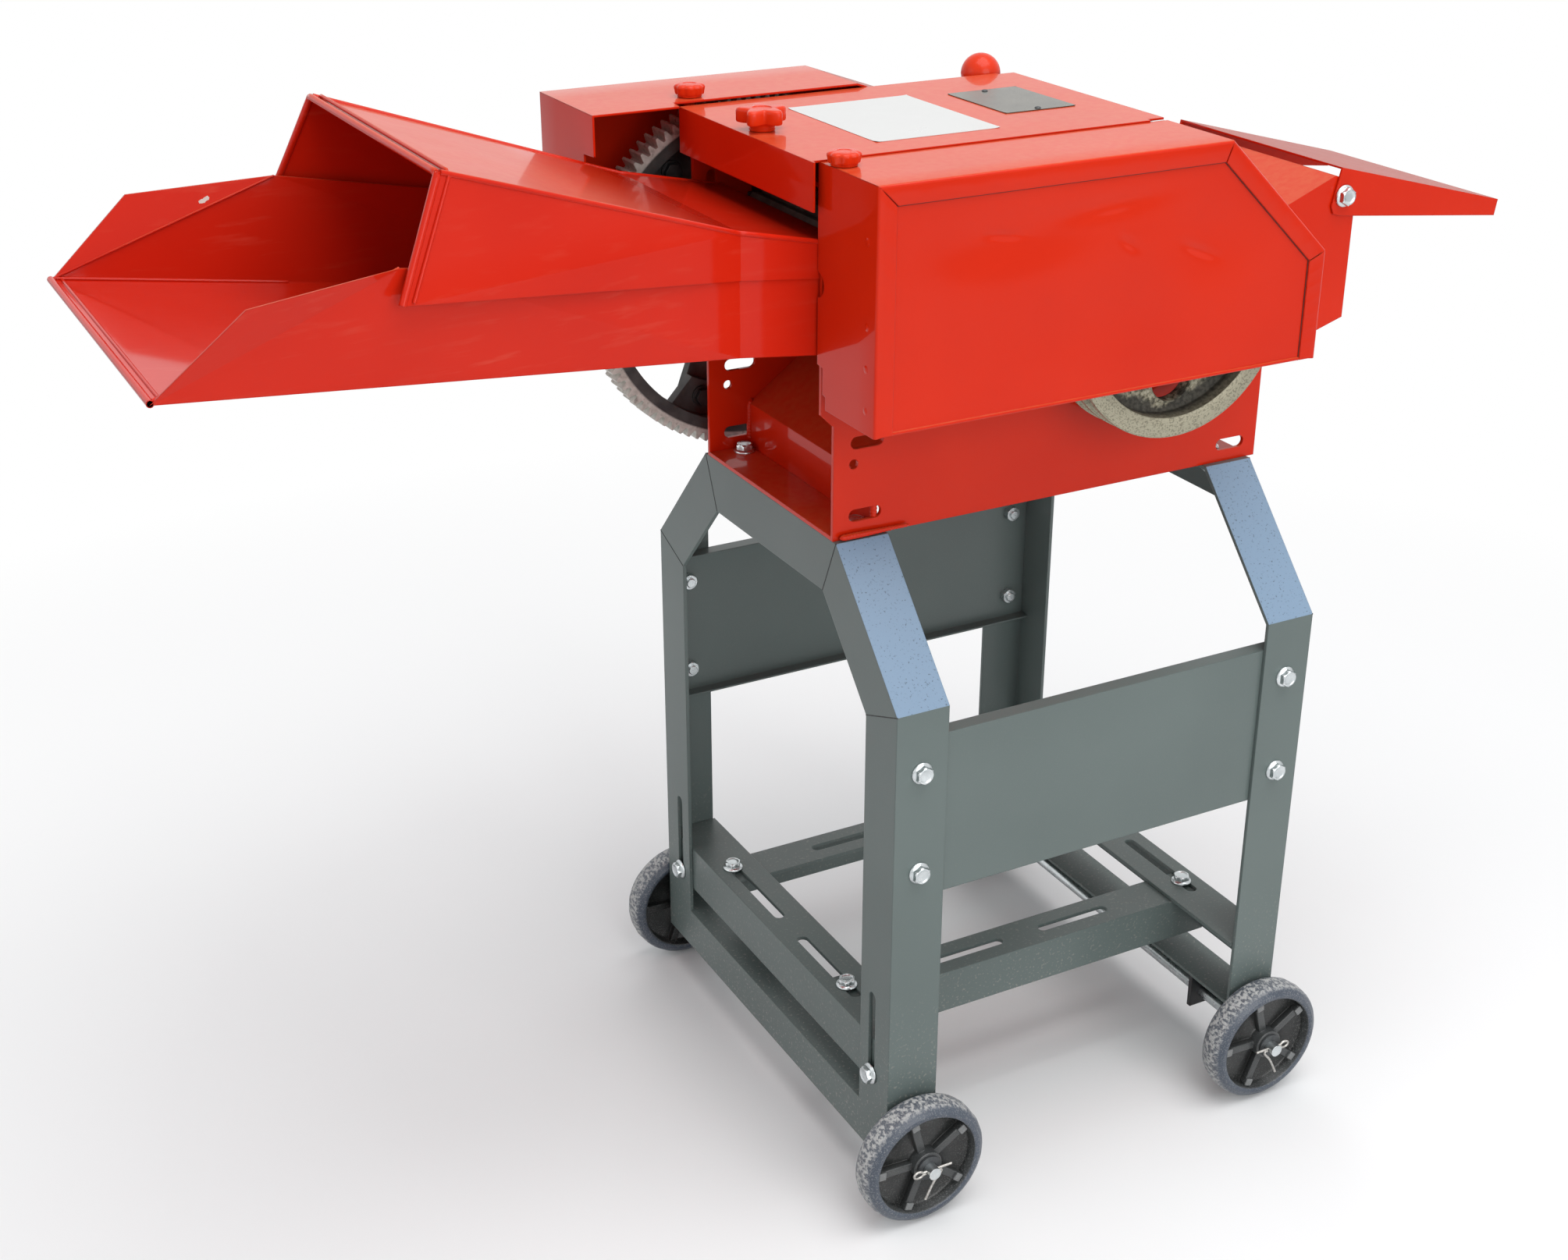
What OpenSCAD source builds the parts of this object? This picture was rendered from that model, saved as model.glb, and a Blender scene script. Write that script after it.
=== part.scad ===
// Small motorised chaff cutter on a wheeled angle-iron stand.
// X runs from the feed trough to the discharge, Y from the pulley side to the gear side, Z up from the floor.

/* [Stand] */
// length over the outer faces of the two end frames
stand_l = 363; // [320:1:420]
// width over the outer faces of the legs
leg_span = 380; // [340:1:440]
// width of the flat top of an end frame
top_span = 205; // [200:1:240]
// height of the stand's top above the floor
stand_h = 517; // [480:1:560]
// height of the bend in each leg
knee_z = 421; // [400:1:450]
// height of the legs' lower ends above the floor
leg_z = 40; // [36:1:44]
// width of the frame's angle section
angle_w = 42; // [36:1:48]
// thickness of all angle sections of the stand
angle_t = 3; // [2.5:0.5:4]
// width of the lower beam's angle section
beam_w = 36; // [30:1:38]
// lower edge of the side panels
panel_z = 270; // [250:1:280]
// height of the side panels
panel_h = 128.5; // [110:0.5:140]
// sheet thickness of panels, guards, trough and chute
sheet = 1.5; // [1:0.1:2]

/* [Motor cradle] */
// width of the motor bars' angle section
bar_w = 40; // [36:1:44]
// height of the motor bars' top at the lowest setting
bar_z = 138; // [130:1:145]
// width of the motor rails' angle section
rail_w = 36; // [32:1:38]
// distance from the stand's middle to the front rail's bolt line
front_rail_y = 92; // [60:1:100]
// distance from the stand's middle to the rear rail's bolt line
rear_rail_y = 104; // [60:1:104]
// width of every adjusting slot
slot_w = 9; // [9:0.5:10]
// length of the height slots in the legs
leg_slot_l = 77; // [60:1:90]
// length of the cross slots in the motor bars
bar_slot_l = 94; // [80:1:100]
// length of each motor slot in the rails
rail_slot_l = 67; // [50:1:80]
// distance between the two motor slots of a rail
rail_slot_pitch = 102; // [90:1:120]

/* [Wheels] */
// wheel radius
wheel_r = 52; // [46:1:53]
// wheel width
wheel_w = 25.5; // [20:0.5:30]
// number of spokes
spokes = 5; // [4:1:7]
// axle radius
axle_r = 5; // [4:0.5:6]
// distance of the axle from the outer face of the end frame
axle_x = 20; // [18:1:24]

/* [Body] */
// width over the outer faces of the two side plates
body_w = 196; // [180:1:199]
// thickness of the side plates
plate_t = 3; // [2.5:0.5:4]
// length of the side plates at the stand
plate_l = 370; // [366:1:376]
// height of the side plates above the stand
plate_h = 265; // [259:1:273]
// distance from the feed end where the top edge turns down
slope_x = 263; // [258:1:266]
// distance from the feed end where the guard's slope ends
slope_end_x = 353; // [350:1:358]
// height above the stand where the guard's slope ends
slope_end_h = 180; // [175:1:185]
// radius of the M8 bolts
bolt_r = 4; // [3.5:0.5:4.5]

/* [Rotor and drive] */
// height of the main shaft above the stand
shaft_h = 142; // [139:0.5:144]
// radius of the main shaft
shaft_r = 12.5; // [10:0.5:14]
// radius that the blades sweep
cut_r = 95; // [90:0.5:95.5]
// number of blades
blades_n = 3; // [2:1:4]
// radius of the pulley
pulley_r = 89.5; // [75:0.5:90]
// width of the pulley
pulley_w = 36; // [34:1:40]
// tooth size (module) of the feed drive
drive_m = 2.5; // [2.5:0.1:2.5]
// teeth of the feed gear
gear_n = 106; // [105:1:107]
// teeth of the sliding pinion
pinion_n = 51; // [50:1:52]
// face width of the feed gear
gear_w = 21; // [19:1:22]
// face width of the pinion
pinion_w = 16; // [14:1:16]
// travel of the pinion out of mesh
pinion_travel = 17; // [16.5:0.5:18]

/* [Feed] */
// distance of the feed rollers from the feed end
feed_x = 52; // [50:0.5:54]
// height of the lower feed roller above the stand
feed_h = 130.5; // [129:0.5:132]
// tip radius of the feed rollers
roller_r = 25; // [22:0.5:26]
// teeth round a feed roller
roller_n = 10; // [8:1:14]
// tooth size (module) of the roller gears
roller_m = 4; // [4:0.1:4]
// teeth of each roller gear
roller_gear_n = 14; // [14:1:15]
// lift of the upper roller
float_travel = 6; // [4:0.5:6]
// distance of the trough's lip from the feed end
lip_x = 458; // [420:1:500]
// half width of the trough at its lip
lip_half = 139; // [120:1:150]
// rise of the trough's floor per unit of length
trough_rise = 0.1155; // [0.09:0.005:0.13]
// height of the trough's floor above the stand, at its root
trough_h = 135; // [133:0.5:138]
// height of the hood's mouth above the stand
mouth_h = 294; // [283:1:308]

/* [Discharge] */
// distance from the feed end to the end of the chute
chute_x = 446.5; // [430:0.5:460]
// slope of the chute's floor
chute_slope = 0.306; // [0.29:0.005:0.32]
// distance from the feed end to the deflector's pivot
deflector_x = 433.6; // [420:0.1:440]
// height of the deflector's pivot above the stand
deflector_h = 193; // [189:0.5:197]
// distance from the feed end to the deflector's tip
deflector_tip_x = 592; // [570:1:610]

/* [Covers] */
// front edge of the top cover ahead of the feed end
cover_front = 18.9; // [14:0.1:20]
// distance of the pulley guard's face from the middle
pulley_guard_y = 172.3; // [170:0.1:180]
// distance of the gear guard's face from the middle
gear_guard_y = 182; // [178:0.5:190]
// front face of the gear guard ahead of the feed end
gear_guard_front = 91.5; // [90:0.5:100]
// height of the gear guard's top above the side plates
gear_guard_h = 4.8; // [4:0.1:13]
// height of both guards' lower edges above the stand
guard_h = 101; // [95:1:108]
// width of the turned edge on the guards' faces
guard_edge = 14; // [10:1:18]

/* [Clearances] */
// gap between pieces that move past each other
gap = 0.3; // [0.3:0.05:0.5]
// radial clearance of shafts and pins in their bores
run = 0.06; // [0.04:0.01:0.08]
// radial clearance of bolts in their holes
hole_gap = 0.4; // [0.3:0.1:0.5]

/* [Hidden] */
$fn = 48;
red = [0.85, 0.16, 0.11];
grey = [0.34, 0.37, 0.36];
steel = [0.72, 0.72, 0.7];
iron = [0.25, 0.25, 0.26];
black = [0.1, 0.1, 0.11];
x_mid = (deflector_tip_x - lip_x) / 2;
leg_half = leg_span / 2;
top_half = top_span / 2;
plate_top = stand_h + plate_h;
slope_end_z = stand_h + slope_end_h;
shaft_z = stand_h + shaft_h;
feed_z = stand_h + feed_h;
trough_z = stand_h + trough_h;
mouth_z = stand_h + mouth_h;
deflector_z = stand_h + deflector_h;
gear_guard_z = plate_top + gear_guard_h;
guard_z = stand_h + guard_h;
lean = atan2(leg_half - top_half, stand_h - knee_z);
side_out = body_w / 2;
side_in = side_out - plate_t;
sill_bolt_y = side_in - 9.5;
panel_bolt_z = [panel_z + 22.8, panel_z + panel_h - 25.1];
height_slot_y = leg_half - 25;
height_slot_z = 105;
bar_bolt_z = height_slot_z + slot_w / 2 + 0.2;
bar_in = angle_t + gap;
bar_slot_y = 16 + bar_slot_l / 2;
rail_end = 8;
axle_z = wheel_r;
wheel_y = leg_half + 2.5;
axle_tip = wheel_y + wheel_w + 10;
mesh_d = drive_m * (gear_n + pinion_n) / 2;
shaft_x = feed_x + sqrt(pow(mesh_d, 2) - pow(shaft_z - feed_z, 2));
mesh_angle = atan2(shaft_z - feed_z, shaft_x - feed_x);
upper_z = feed_z + roller_m * roller_gear_n;
gear_y = side_out + 22;
pinion_y = gear_y + gear_w - pinion_w;
fork_y = side_out + 10;
fork_t = 6;
lever_pivot_y = side_out + 12.5;
lever_pivot_z = stand_h + 10;
scroll_r = cut_r + 4;
scroll_turn = atan(chute_slope);
bed_end_x = shaft_x - scroll_r + 1;
bed_z = feed_z + roller_r - 8.5;
guard_top = plate_top + 0.7;
cover_z = plate_top + gap;
cover_half = side_out - 0.5;
trough_root = 14;
trough_half = side_in - 3.3;
flare_x = 68;
hood_back_x = 277;
hood_front_x = 308;
knob_x = 3;

// shift from the stand's feed end to the middle of the machine
module place() {
    translate([-x_mid, 0, 0]) children();
}

// flat plate across Y, outline in [x, z], from y to y + t
module xz_plate(points, y, t) {
    translate([0, y + t, 0]) rotate([90, 0, 0]) linear_extrude(t) polygon(points);
}

// flat plate across X, outline in [y, z], from x to x + t
module yz_plate(points, x, t) {
    translate([x, 0, 0]) rotate([90, 0, 90]) linear_extrude(t) polygon(points);
}

// round bar along X, Y or between two points
module x_rod(x, y, z, l, r) {
    translate([x, y, z]) rotate([0, 90, 0]) cylinder(h = l, r = r);
}

module y_rod(x, y, z, l, r) {
    translate([x, y, z]) rotate([-90, 0, 0]) cylinder(h = l, r = r);
}

module rod(p, q, r, sides = 24) {
    v = q - p;
    translate(p) rotate([0, acos(v[2] / norm(v)), atan2(v[1], v[0])])
        cylinder(h = norm(v), r = r, $fn = sides);
}

// both sides of the machine, the second one mirrored across Y
module both_sides() {
    children();
    mirror([0, 1, 0]) children();
}

// both ends of the stand, the second one mirrored across X
module both_ends() {
    children();
    translate([stand_l, 0, 0]) mirror([1, 0, 0]) children();
}

// slot along X, through Z, end to end length l
module slot(l, w, t) {
    for (s = [-1, 1]) translate([s * (l - w) / 2, 0, 0]) cylinder(h = t, d = w);
    translate([-(l - w) / 2, -w / 2, 0]) cube([l - w, w, t]);
}

// hexagon bolt along Z with flange head above 0 and nut below the grip
module hex_bolt(grip, r = bolt_r) {
    cylinder(h = r * 0.4, r = r * 2.1);
    cylinder(h = r * 1.5, r = r * 1.75, $fn = 6);
    translate([0, 0, -grip - r * 2.2]) cylinder(h = grip + r * 2.3, r = r);
    translate([0, 0, -grip - r * 1.6]) cylinder(h = r * 1.6, r = r * 1.75, $fn = 6);
}

// triangle of sheet, thickened by the vector off
module sheet_triangle(a, b, c, off) {
    p = cross(b - a, c - a) * off > 0 ? [a, b, c] : [a, c, b];
    polyhedron(concat(p, [for (q = p) q + off]),
        [[0, 1, 2], [5, 4, 3], [0, 3, 4, 1], [1, 4, 5, 2], [2, 5, 3, 0]]);
}

module sheet_quad(a, b, c, d, off) {
    sheet_triangle(a, b, c, off);
    sheet_triangle(a, c, d, off);
}

// outline of an end frame, moved inwards by d, from one leg's foot over the top to the other
function frame_side(d) = [
    [leg_half - d, leg_z],
    [leg_half - d, knee_z - d * tan(lean / 2)],
    [top_half - d * tan((90 - lean) / 2), stand_h - d]];
function frame_line(d) =
    concat(frame_side(d), [for (i = [2:-1:0]) [-frame_side(d)[i][0], frame_side(d)[i][1]]]);
function frame_band(d) = concat(frame_line(0), [for (i = [5:-1:0]) frame_line(d)[i]]);

// angle iron bent over two legs, with the lower beam welded across
module end_frame() {
    difference() {
        union() {
            yz_plate(frame_band(angle_w), 0, angle_t);
            yz_plate(frame_band(angle_t), 0, angle_w);
            translate([0, -leg_half + 1, leg_z]) cube([angle_t, leg_span - 2, beam_w]);
            translate([0, -leg_half + 1, leg_z + beam_w - angle_t]) cube([beam_w, leg_span - 2, angle_t]);
        }
        for (s = [-1, 1]) {
            translate([-1, s * height_slot_y, height_slot_z + leg_slot_l / 2]) rotate([0, 90, 0])
                slot(leg_slot_l, slot_w, angle_t + 2);
            y_rod(axle_x, s * leg_half - 10, axle_z, 20, axle_r + run);
            for (z = panel_bolt_z) y_rod(axle_x + 1, s * leg_half - 10, z, 20, bolt_r + hole_gap);
            translate([axle_x + 5, s * sill_bolt_y, stand_h - 10]) cylinder(h = 20, r = bolt_r + hole_gap);
        }
    }
}

module feed_end_frame() {
    color(grey) place() end_frame();
}

module discharge_end_frame() {
    color(grey) place() translate([stand_l, 0, 0]) mirror([1, 0, 0]) end_frame();
}

// sheet panel bolted inside the legs of one side, its edges bent inwards
module side_panel() {
    y = leg_half - angle_t;
    lip = 12;
    z = [panel_z, panel_z + panel_h];
    outline = [[y, z[0]], [y, z[1]], [y - lip, z[1]], [y - lip, z[1] - sheet], [y - sheet, z[1] - sheet],
        [y - sheet, z[0] + sheet], [y - lip, z[0] + sheet], [y - lip, z[0]]];
    difference() {
        yz_plate(outline, angle_t, stand_l - 2 * angle_t);
        both_ends() for (bz = panel_bolt_z) y_rod(axle_x + 1, y - 5, bz, 10, bolt_r + hole_gap);
    }
}

module side_panels() {
    color(grey) place() both_sides() side_panel();
}

module panel_bolts() {
    color(steel) place() both_sides() both_ends() for (z = panel_bolt_z)
        translate([axle_x + 1, leg_half, z]) rotate([-90, 0, 0]) hex_bolt(angle_t + sheet);
}

// motor bar behind the legs: web upright, flange turned inwards at the top, slotted along Y
module motor_bar() {
    half = leg_half - angle_t - 2 * gap;
    difference() {
        union() {
            translate([bar_in, -half, bar_z - bar_w]) cube([angle_t, 2 * half, bar_w]);
            translate([bar_in, -half, bar_z - angle_t]) cube([bar_w, 2 * half, angle_t]);
        }
        for (s = [-1, 1]) {
            translate([axle_x, s * bar_slot_y, bar_z - 2 * angle_t]) rotate([0, 0, 90])
                slot(bar_slot_l, slot_w, 3 * angle_t);
            x_rod(0, s * height_slot_y, bar_bolt_z, 20, bolt_r + hole_gap);
        }
    }
}

module feed_end_motor_bar() {
    color(grey) place() motor_bar();
}

module discharge_end_motor_bar() {
    color(grey) place() translate([stand_l, 0, 0]) mirror([1, 0, 0]) motor_bar();
}

// bolts that hold the bars at their height, their heads outside the legs
module motor_bar_bolts() {
    color(steel) place() both_ends() for (s = [-1, 1])
        translate([-gap, s * height_slot_y, bar_bolt_z]) rotate([0, -90, 0])
            hex_bolt(angle_t + angle_t + 2 * gap);
}

// rail under the bars' flanges, web turned outwards and down, with two motor slots along X
module motor_rail(y) {
    top = bar_z - angle_t - gap;
    difference() {
        union() {
            translate([rail_end, y - rail_w / 2, top - angle_t])
                cube([stand_l - 2 * rail_end, rail_w, angle_t]);
            translate([rail_end, y + rail_w / 2 - angle_t, top - rail_w])
                cube([stand_l - 2 * rail_end, angle_t, rail_w]);
        }
        for (s = [-1, 1]) translate([stand_l / 2 + s * rail_slot_pitch / 2, y, top - 2 * angle_t])
            slot(rail_slot_l, slot_w, 3 * angle_t);
        both_ends() translate([axle_x, y, top - 2 * angle_t])
            cylinder(h = 3 * angle_t, r = bolt_r + hole_gap);
    }
}

module rail_bolts(y) {
    both_ends() translate([axle_x, y, bar_z + gap]) hex_bolt(2 * angle_t + 2 * gap);
}

module front_motor_rail() {
    color(grey) place() mirror([0, 1, 0]) motor_rail(front_rail_y);
}

module rear_motor_rail() {
    color(grey) place() motor_rail(rear_rail_y);
}

module front_rail_bolts() {
    color(steel) place() rail_bolts(-front_rail_y);
}

module rear_rail_bolts() {
    color(steel) place() rail_bolts(rear_rail_y);
}

// plates under the lower beams that steady the axles
module axle_tabs() {
    tab_y = leg_half - 59;
    tab_w = 26;
    tab_t = 4;
    top = leg_z + beam_w - angle_t;
    color(black) place() both_ends() both_sides() difference() {
        translate([axle_x - tab_w / 2, tab_y - tab_t / 2, axle_z - 11])
            cube([tab_w, tab_t, top - axle_z + 11]);
        y_rod(axle_x, tab_y - 10, axle_z, 20, axle_r + run);
    }
}

module axle(x) {
    difference() {
        y_rod(x, -axle_tip, axle_z, 2 * axle_tip, axle_r);
        for (s = [-1, 1]) x_rod(x - 10, s * (axle_tip - 5), axle_z, 20, 1.8);
    }
}

module axles() {
    color(steel) place() both_ends() axle(axle_x);
}

// moulded wheel: tyre with rounded shoulders, dished web with spokes, long hub
module wheel() {
    rim_in = wheel_r - 9;
    hub_r = 12;
    web = 4;
    half = wheel_w / 2;
    rotate([-90, 0, 0]) difference() {
        union() {
            rotate_extrude() polygon(concat(
                [[rim_in, -half + 1], [rim_in, half - 1]],
                [for (i = [0:6]) [wheel_r - 4 + 4 * sin(i * 15), half - 4 + 4 * cos(i * 15)]],
                [for (i = [0:6]) [wheel_r - 4 + 4 * cos(i * 15), -half + 4 - 4 * sin(i * 15)]]));
            translate([0, 0, -half]) cylinder(h = wheel_w, r = hub_r);
            translate([0, 0, -web / 2]) cylinder(h = web, r = rim_in + 1);
            for (i = [0:spokes - 1]) rotate([0, 0, 90 + i * 360 / spokes])
                translate([hub_r - 2, -2.5, -half + 5]) cube([rim_in - hub_r + 3, 5, wheel_w - 10]);
        }
        translate([0, 0, -wheel_w]) cylinder(h = 2 * wheel_w, r = axle_r + run);
    }
}

module wheel_at(x, side) {
    color(black) place() translate([x, side * (wheel_y + wheel_w / 2), axle_z]) wheel();
}

module front_feed_wheel() {
    wheel_at(axle_x, -1);
}

module rear_feed_wheel() {
    wheel_at(axle_x, 1);
}

module front_discharge_wheel() {
    wheel_at(stand_l - axle_x, -1);
}

module rear_discharge_wheel() {
    wheel_at(stand_l - axle_x, 1);
}

module wheel_washers() {
    spans = [[leg_half, wheel_y - gap], [wheel_y + wheel_w + gap, wheel_y + wheel_w + 2]];
    color(steel) place() both_ends() both_sides() for (span = spans) difference() {
        y_rod(axle_x, span[0], axle_z, span[1] - span[0], 10);
        y_rod(axle_x, span[0] - 1, axle_z, span[1] - span[0] + 2, axle_r + run);
    }
}

// split pins through the axle tips: eye at one end, one leg straight and one bent down
module cotter_pins() {
    pin_r = 1.6;
    leg_r = 1.1;
    eye_r = 2.6;
    bend = [3, 0, -8];
    color(steel) place() both_ends() both_sides() translate([axle_x, axle_tip - 5, axle_z]) {
        x_rod(-8, 0, 0, 16, pin_r, $fn = 24);
        translate([-9, 0, 0]) rotate([90, 0, 0]) rotate_extrude($fn = 24)
            translate([eye_r, 0]) circle(r = 1.2, $fn = 16);
        rod([6, 0, 0], [17, 0, 0], leg_r);
        rod([7, 0, 0], bend, leg_r);
        rod(bend, [-5, 0, -25], leg_r);
    }
}

// outline of a side plate in [x, z]: stepped feed end, sloped discharge end
plate_slope = (plate_top - slope_end_z) / (slope_end_x - slope_x);
plate_end_z = slope_end_z - (plate_l - slope_end_x) * plate_slope;
plate_outline = [[0, stand_h], [plate_l, stand_h], [plate_l, plate_end_z],
    [slope_x, plate_top], [-10, plate_top], [-10, stand_h + 94], [0, stand_h + 84]];
hinge_x = slope_x - 1;
hinge_z = plate_top - 6;
hinge_pin_r = 3;
bearing_r = 26;
bush_r = 16;
block_half = 14;
trough_bolt_z = [trough_z + 16, trough_z + 48];

module side_plate() {
    y = side_in - 1;
    t = plate_t + 2;
    difference() {
        xz_plate(plate_outline, side_in, plate_t);
        y_rod(shaft_x, y, shaft_z, t, bearing_r + run);
        y_rod(feed_x, y, feed_z, t, bush_r + run);
        y_rod(hinge_x, y, hinge_z, t, hinge_pin_r + run);
        for (z = trough_bolt_z) y_rod(4, y, z, t, bolt_r + hole_gap);
        translate([feed_x - block_half - gap, y, upper_z - block_half - gap])
            cube([2 * (block_half + gap), t, 2 * (block_half + gap) + float_travel]);
        for (p = [[26.5, 70], [25.5, 16.5]]) translate([p[0], y, stand_h + p[1]]) rotate([-90, 0, 0])
            slot(26, slot_w, t);
        y_rod(16, y, stand_h + 54.7, t, 3.5);
        children();
    }
}

module front_side_plate() {
    color(red) place() mirror([0, 1, 0]) side_plate()
        translate([plate_l - 24.5, side_in - 1, stand_h + 13.6]) rotate([-90, 0, 0])
            slot(26, slot_w, plate_t + 2);
}

module rear_side_plate() {
    color(red) place() side_plate()
        translate([5, side_in - 1, trough_z + 75]) rotate([0, 90, 0]) rotate([-90, 0, 0])
            slot(20, 8, plate_t + 2);
}

// strips across both stand tops that tie the side plates together
module sills() {
    sill_l = 39;
    color(red) place() both_ends() difference() {
        translate([0, -side_in, stand_h]) cube([sill_l, 2 * side_in, plate_t]);
        for (s = [-1, 1]) translate([axle_x + 5, s * sill_bolt_y, stand_h - 1])
            cylinder(h = plate_t + 2, r = bolt_r + hole_gap);
    }
}

knife_bolt_x = bed_end_x - 28;
knife_bolt_y = [-60, 0, 60];
bed_t = 4;
knife_t = 6;

// bolts of the sills, heads up, and of the bed knife, heads under the bed
module body_bolts() {
    color(steel) place() {
        both_ends() for (s = [-1, 1]) translate([axle_x + 5, s * sill_bolt_y, stand_h + plate_t])
            hex_bolt(plate_t + angle_t);
        for (y = knife_bolt_y) translate([knife_bolt_x, y, bed_z - bed_t - 6]) {
            cylinder(h = 6, r = bolt_r * 1.75, $fn = 6);
            cylinder(h = 6 + bed_t + knife_t - 1.5, r = bolt_r);
        }
    }
}

// bent sheet that closes the body under the feed rollers
module casing_sheet() {
    x = 34;
    z = stand_h + 37.5;
    rise = 0.72;
    t = 2;
    end_x = shaft_x - scroll_r - t;
    end_z = z + rise * (end_x - x);
    foot = stand_h + plate_t;
    color(red) place() xz_plate([[x, foot], [x, z], [end_x, end_z], [end_x + t * rise, end_z - t],
        [x + t, z - t * rise], [x + t, foot]], -side_in, 2 * side_in);
}

// scroll round the rotor, running out straight towards the chute
function scroll_end() = [shaft_x + scroll_r * sin(scroll_turn), shaft_z - scroll_r * cos(scroll_turn)];
function chute_floor(x) = scroll_end()[1] + (x - scroll_end()[0]) * chute_slope;
scroll_out_x = shaft_x + scroll_r - 10;

module rotor_casing() {
    t = 2;
    start = 191;
    x0 = scroll_end()[0] - 0.5;
    drop = t / cos(scroll_turn);
    color(red) place() {
        translate([shaft_x, side_in, shaft_z]) rotate([90, 0, 0]) rotate([0, 0, start])
            rotate_extrude(angle = 270 + scroll_turn - start, $fn = 96)
                translate([scroll_r, 0]) square([t, 2 * side_in]);
        xz_plate([[x0, chute_floor(x0)], [scroll_out_x, chute_floor(scroll_out_x)],
            [scroll_out_x, chute_floor(scroll_out_x) - drop], [x0, chute_floor(x0) - drop]],
            -side_in, 2 * side_in);
    }
}

// bed that carries the fixed knife between rollers and rotor
module bed_knife_beam() {
    lip = 8;
    color(iron) place() difference() {
        xz_plate([[feed_x + roller_r + 5, bed_z - bed_t], [feed_x + roller_r + 5, bed_z], [bed_end_x, bed_z],
            [bed_end_x, shaft_z - 18], [bed_end_x - lip, shaft_z - 18], [bed_end_x - lip, bed_z - bed_t]],
            -side_in, 2 * side_in);
        for (y = knife_bolt_y) translate([knife_bolt_x, y, bed_z - 10])
            cylinder(h = 20, r = bolt_r + hole_gap);
    }
}

module bed_knife() {
    tip = shaft_x - sqrt(pow(cut_r, 2) - pow(bed_z + knife_t - shaft_z, 2)) - 1.2;
    back = bed_end_x - 48;
    color(steel) place() difference() {
        xz_plate([[back, bed_z], [back, bed_z + knife_t], [tip, bed_z + knife_t], [tip - 3, bed_z]],
            -side_in + 3, 2 * side_in - 6);
        for (y = knife_bolt_y) translate([knife_bolt_x, y, bed_z - 1])
            cylinder(h = knife_t, r = bolt_r + hole_gap);
    }
}

stud_r = 4;
guard_knob_y = side_out + 15;
lug_z = plate_top - 14;
spring_top = upper_z + 46;

// welded lugs: one each for the guards' studs and the roller springs, and the fork under the cover's knob
module lugs() {
    t = 3;
    color(red) place() {
        both_sides() difference() {
            translate([-knob_x - 6, side_out, lug_z]) cube([15, 20.5, t]);
            translate([-knob_x, guard_knob_y, lug_z - 1]) cylinder(h = t + 2, r = stud_r + run);
        }
        both_sides() translate([feed_x - 10, side_out, spring_top]) cube([20, 16, t]);
        difference() {
            translate([-knob_x - 5, -side_in, lug_z - 4]) cube([30, 2 * side_in, t]);
            translate([-knob_x, 0, lug_z - 5]) cylinder(h = t + 2, d = slot_w);
            translate([-knob_x - 10, -slot_w / 2, lug_z - 5]) cube([10, slot_w, t + 2]);
        }
    }
}

bearing_in = side_in - 8.5;
bearing_out = side_out + 3;
pulley_in = side_out + 18;
pulley_out = pulley_in + pulley_w;
key_w = 8;
key_h = 3;

module main_shaft() {
    color(steel) place() difference() {
        union() {
            y_rod(shaft_x, -pulley_out - 12, shaft_z, pulley_out + 12 + gear_guard_y - 14, shaft_r);
            translate([shaft_x - key_w / 2, bearing_out + 1, shaft_z])
                cube([key_w, gear_guard_y - 18 - bearing_out, shaft_r + key_h]);
        }
        y_rod(shaft_x, -pulley_out - 13, shaft_z, 5, 2);
    }
}

// bearing housings of the main shaft and flanged bushes of the lower roller
roller_shaft_r = 11;

module bearings() {
    color(iron) place() both_sides() {
        difference() {
            union() {
                y_rod(shaft_x, bearing_in, shaft_z, bearing_out - bearing_in, bearing_r);
                y_rod(shaft_x, side_out, shaft_z, 3, bearing_r + 10);
            }
            y_rod(shaft_x, bearing_in - 1, shaft_z, bearing_out - bearing_in + 2, shaft_r + run);
        }
        difference() {
            union() {
                y_rod(feed_x, side_in - 3, feed_z, plate_t + 6, bush_r);
                y_rod(feed_x, side_out, feed_z, 3, bush_r + 5);
            }
            y_rod(feed_x, side_in - 4, feed_z, plate_t + 8, roller_shaft_r + run);
        }
    }
}

head_half = bearing_in - gap - 2;
seat_r = cut_r - 13;
blade_t = 6;
blade_lead = sqrt(pow(cut_r, 2) - pow(seat_r + blade_t, 2)) - 0.3;
spider_y = 55;
spider_t = 16;

// places children round the main shaft, their own X pointing outwards
module round_rotor() {
    for (i = [0:blades_n - 1]) translate([shaft_x, 0, shaft_z]) rotate([0, 90 + i * 360 / blades_n, 0])
        children();
}

// hub with two three-armed spiders that carry the blades
module cutter_head() {
    arm = 40;
    color(iron) place() difference() {
        union() {
            y_rod(shaft_x, -head_half, shaft_z, 2 * head_half, 22);
            for (s = [-1, 1]) y_extrude(shaft_x, s * spider_y - spider_t / 2, shaft_z, spider_t, 0) {
                circle(r = 36);
                for (i = [0:blades_n - 1]) rotate(-90 - i * 360 / blades_n)
                    translate([0, -arm / 2]) square([seat_r, arm]);
            }
        }
        y_rod(shaft_x, -head_half - 1, shaft_z, 2 * head_half + 2, shaft_r);
        round_rotor() for (s = [-1, 1]) x_rod(seat_r - 20, s * spider_y, 0, 30, bolt_r);
    }
}

module blades() {
    color(steel) place() round_rotor() difference() {
        xz_plate([[seat_r, -30], [seat_r + blade_t, -30], [seat_r + blade_t, blade_lead],
            [seat_r, blade_lead - 8]], -head_half, 2 * head_half);
        for (s = [-1, 1]) x_rod(seat_r - 1, s * spider_y, 0, blade_t + 2, bolt_r);
    }
}

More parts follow.
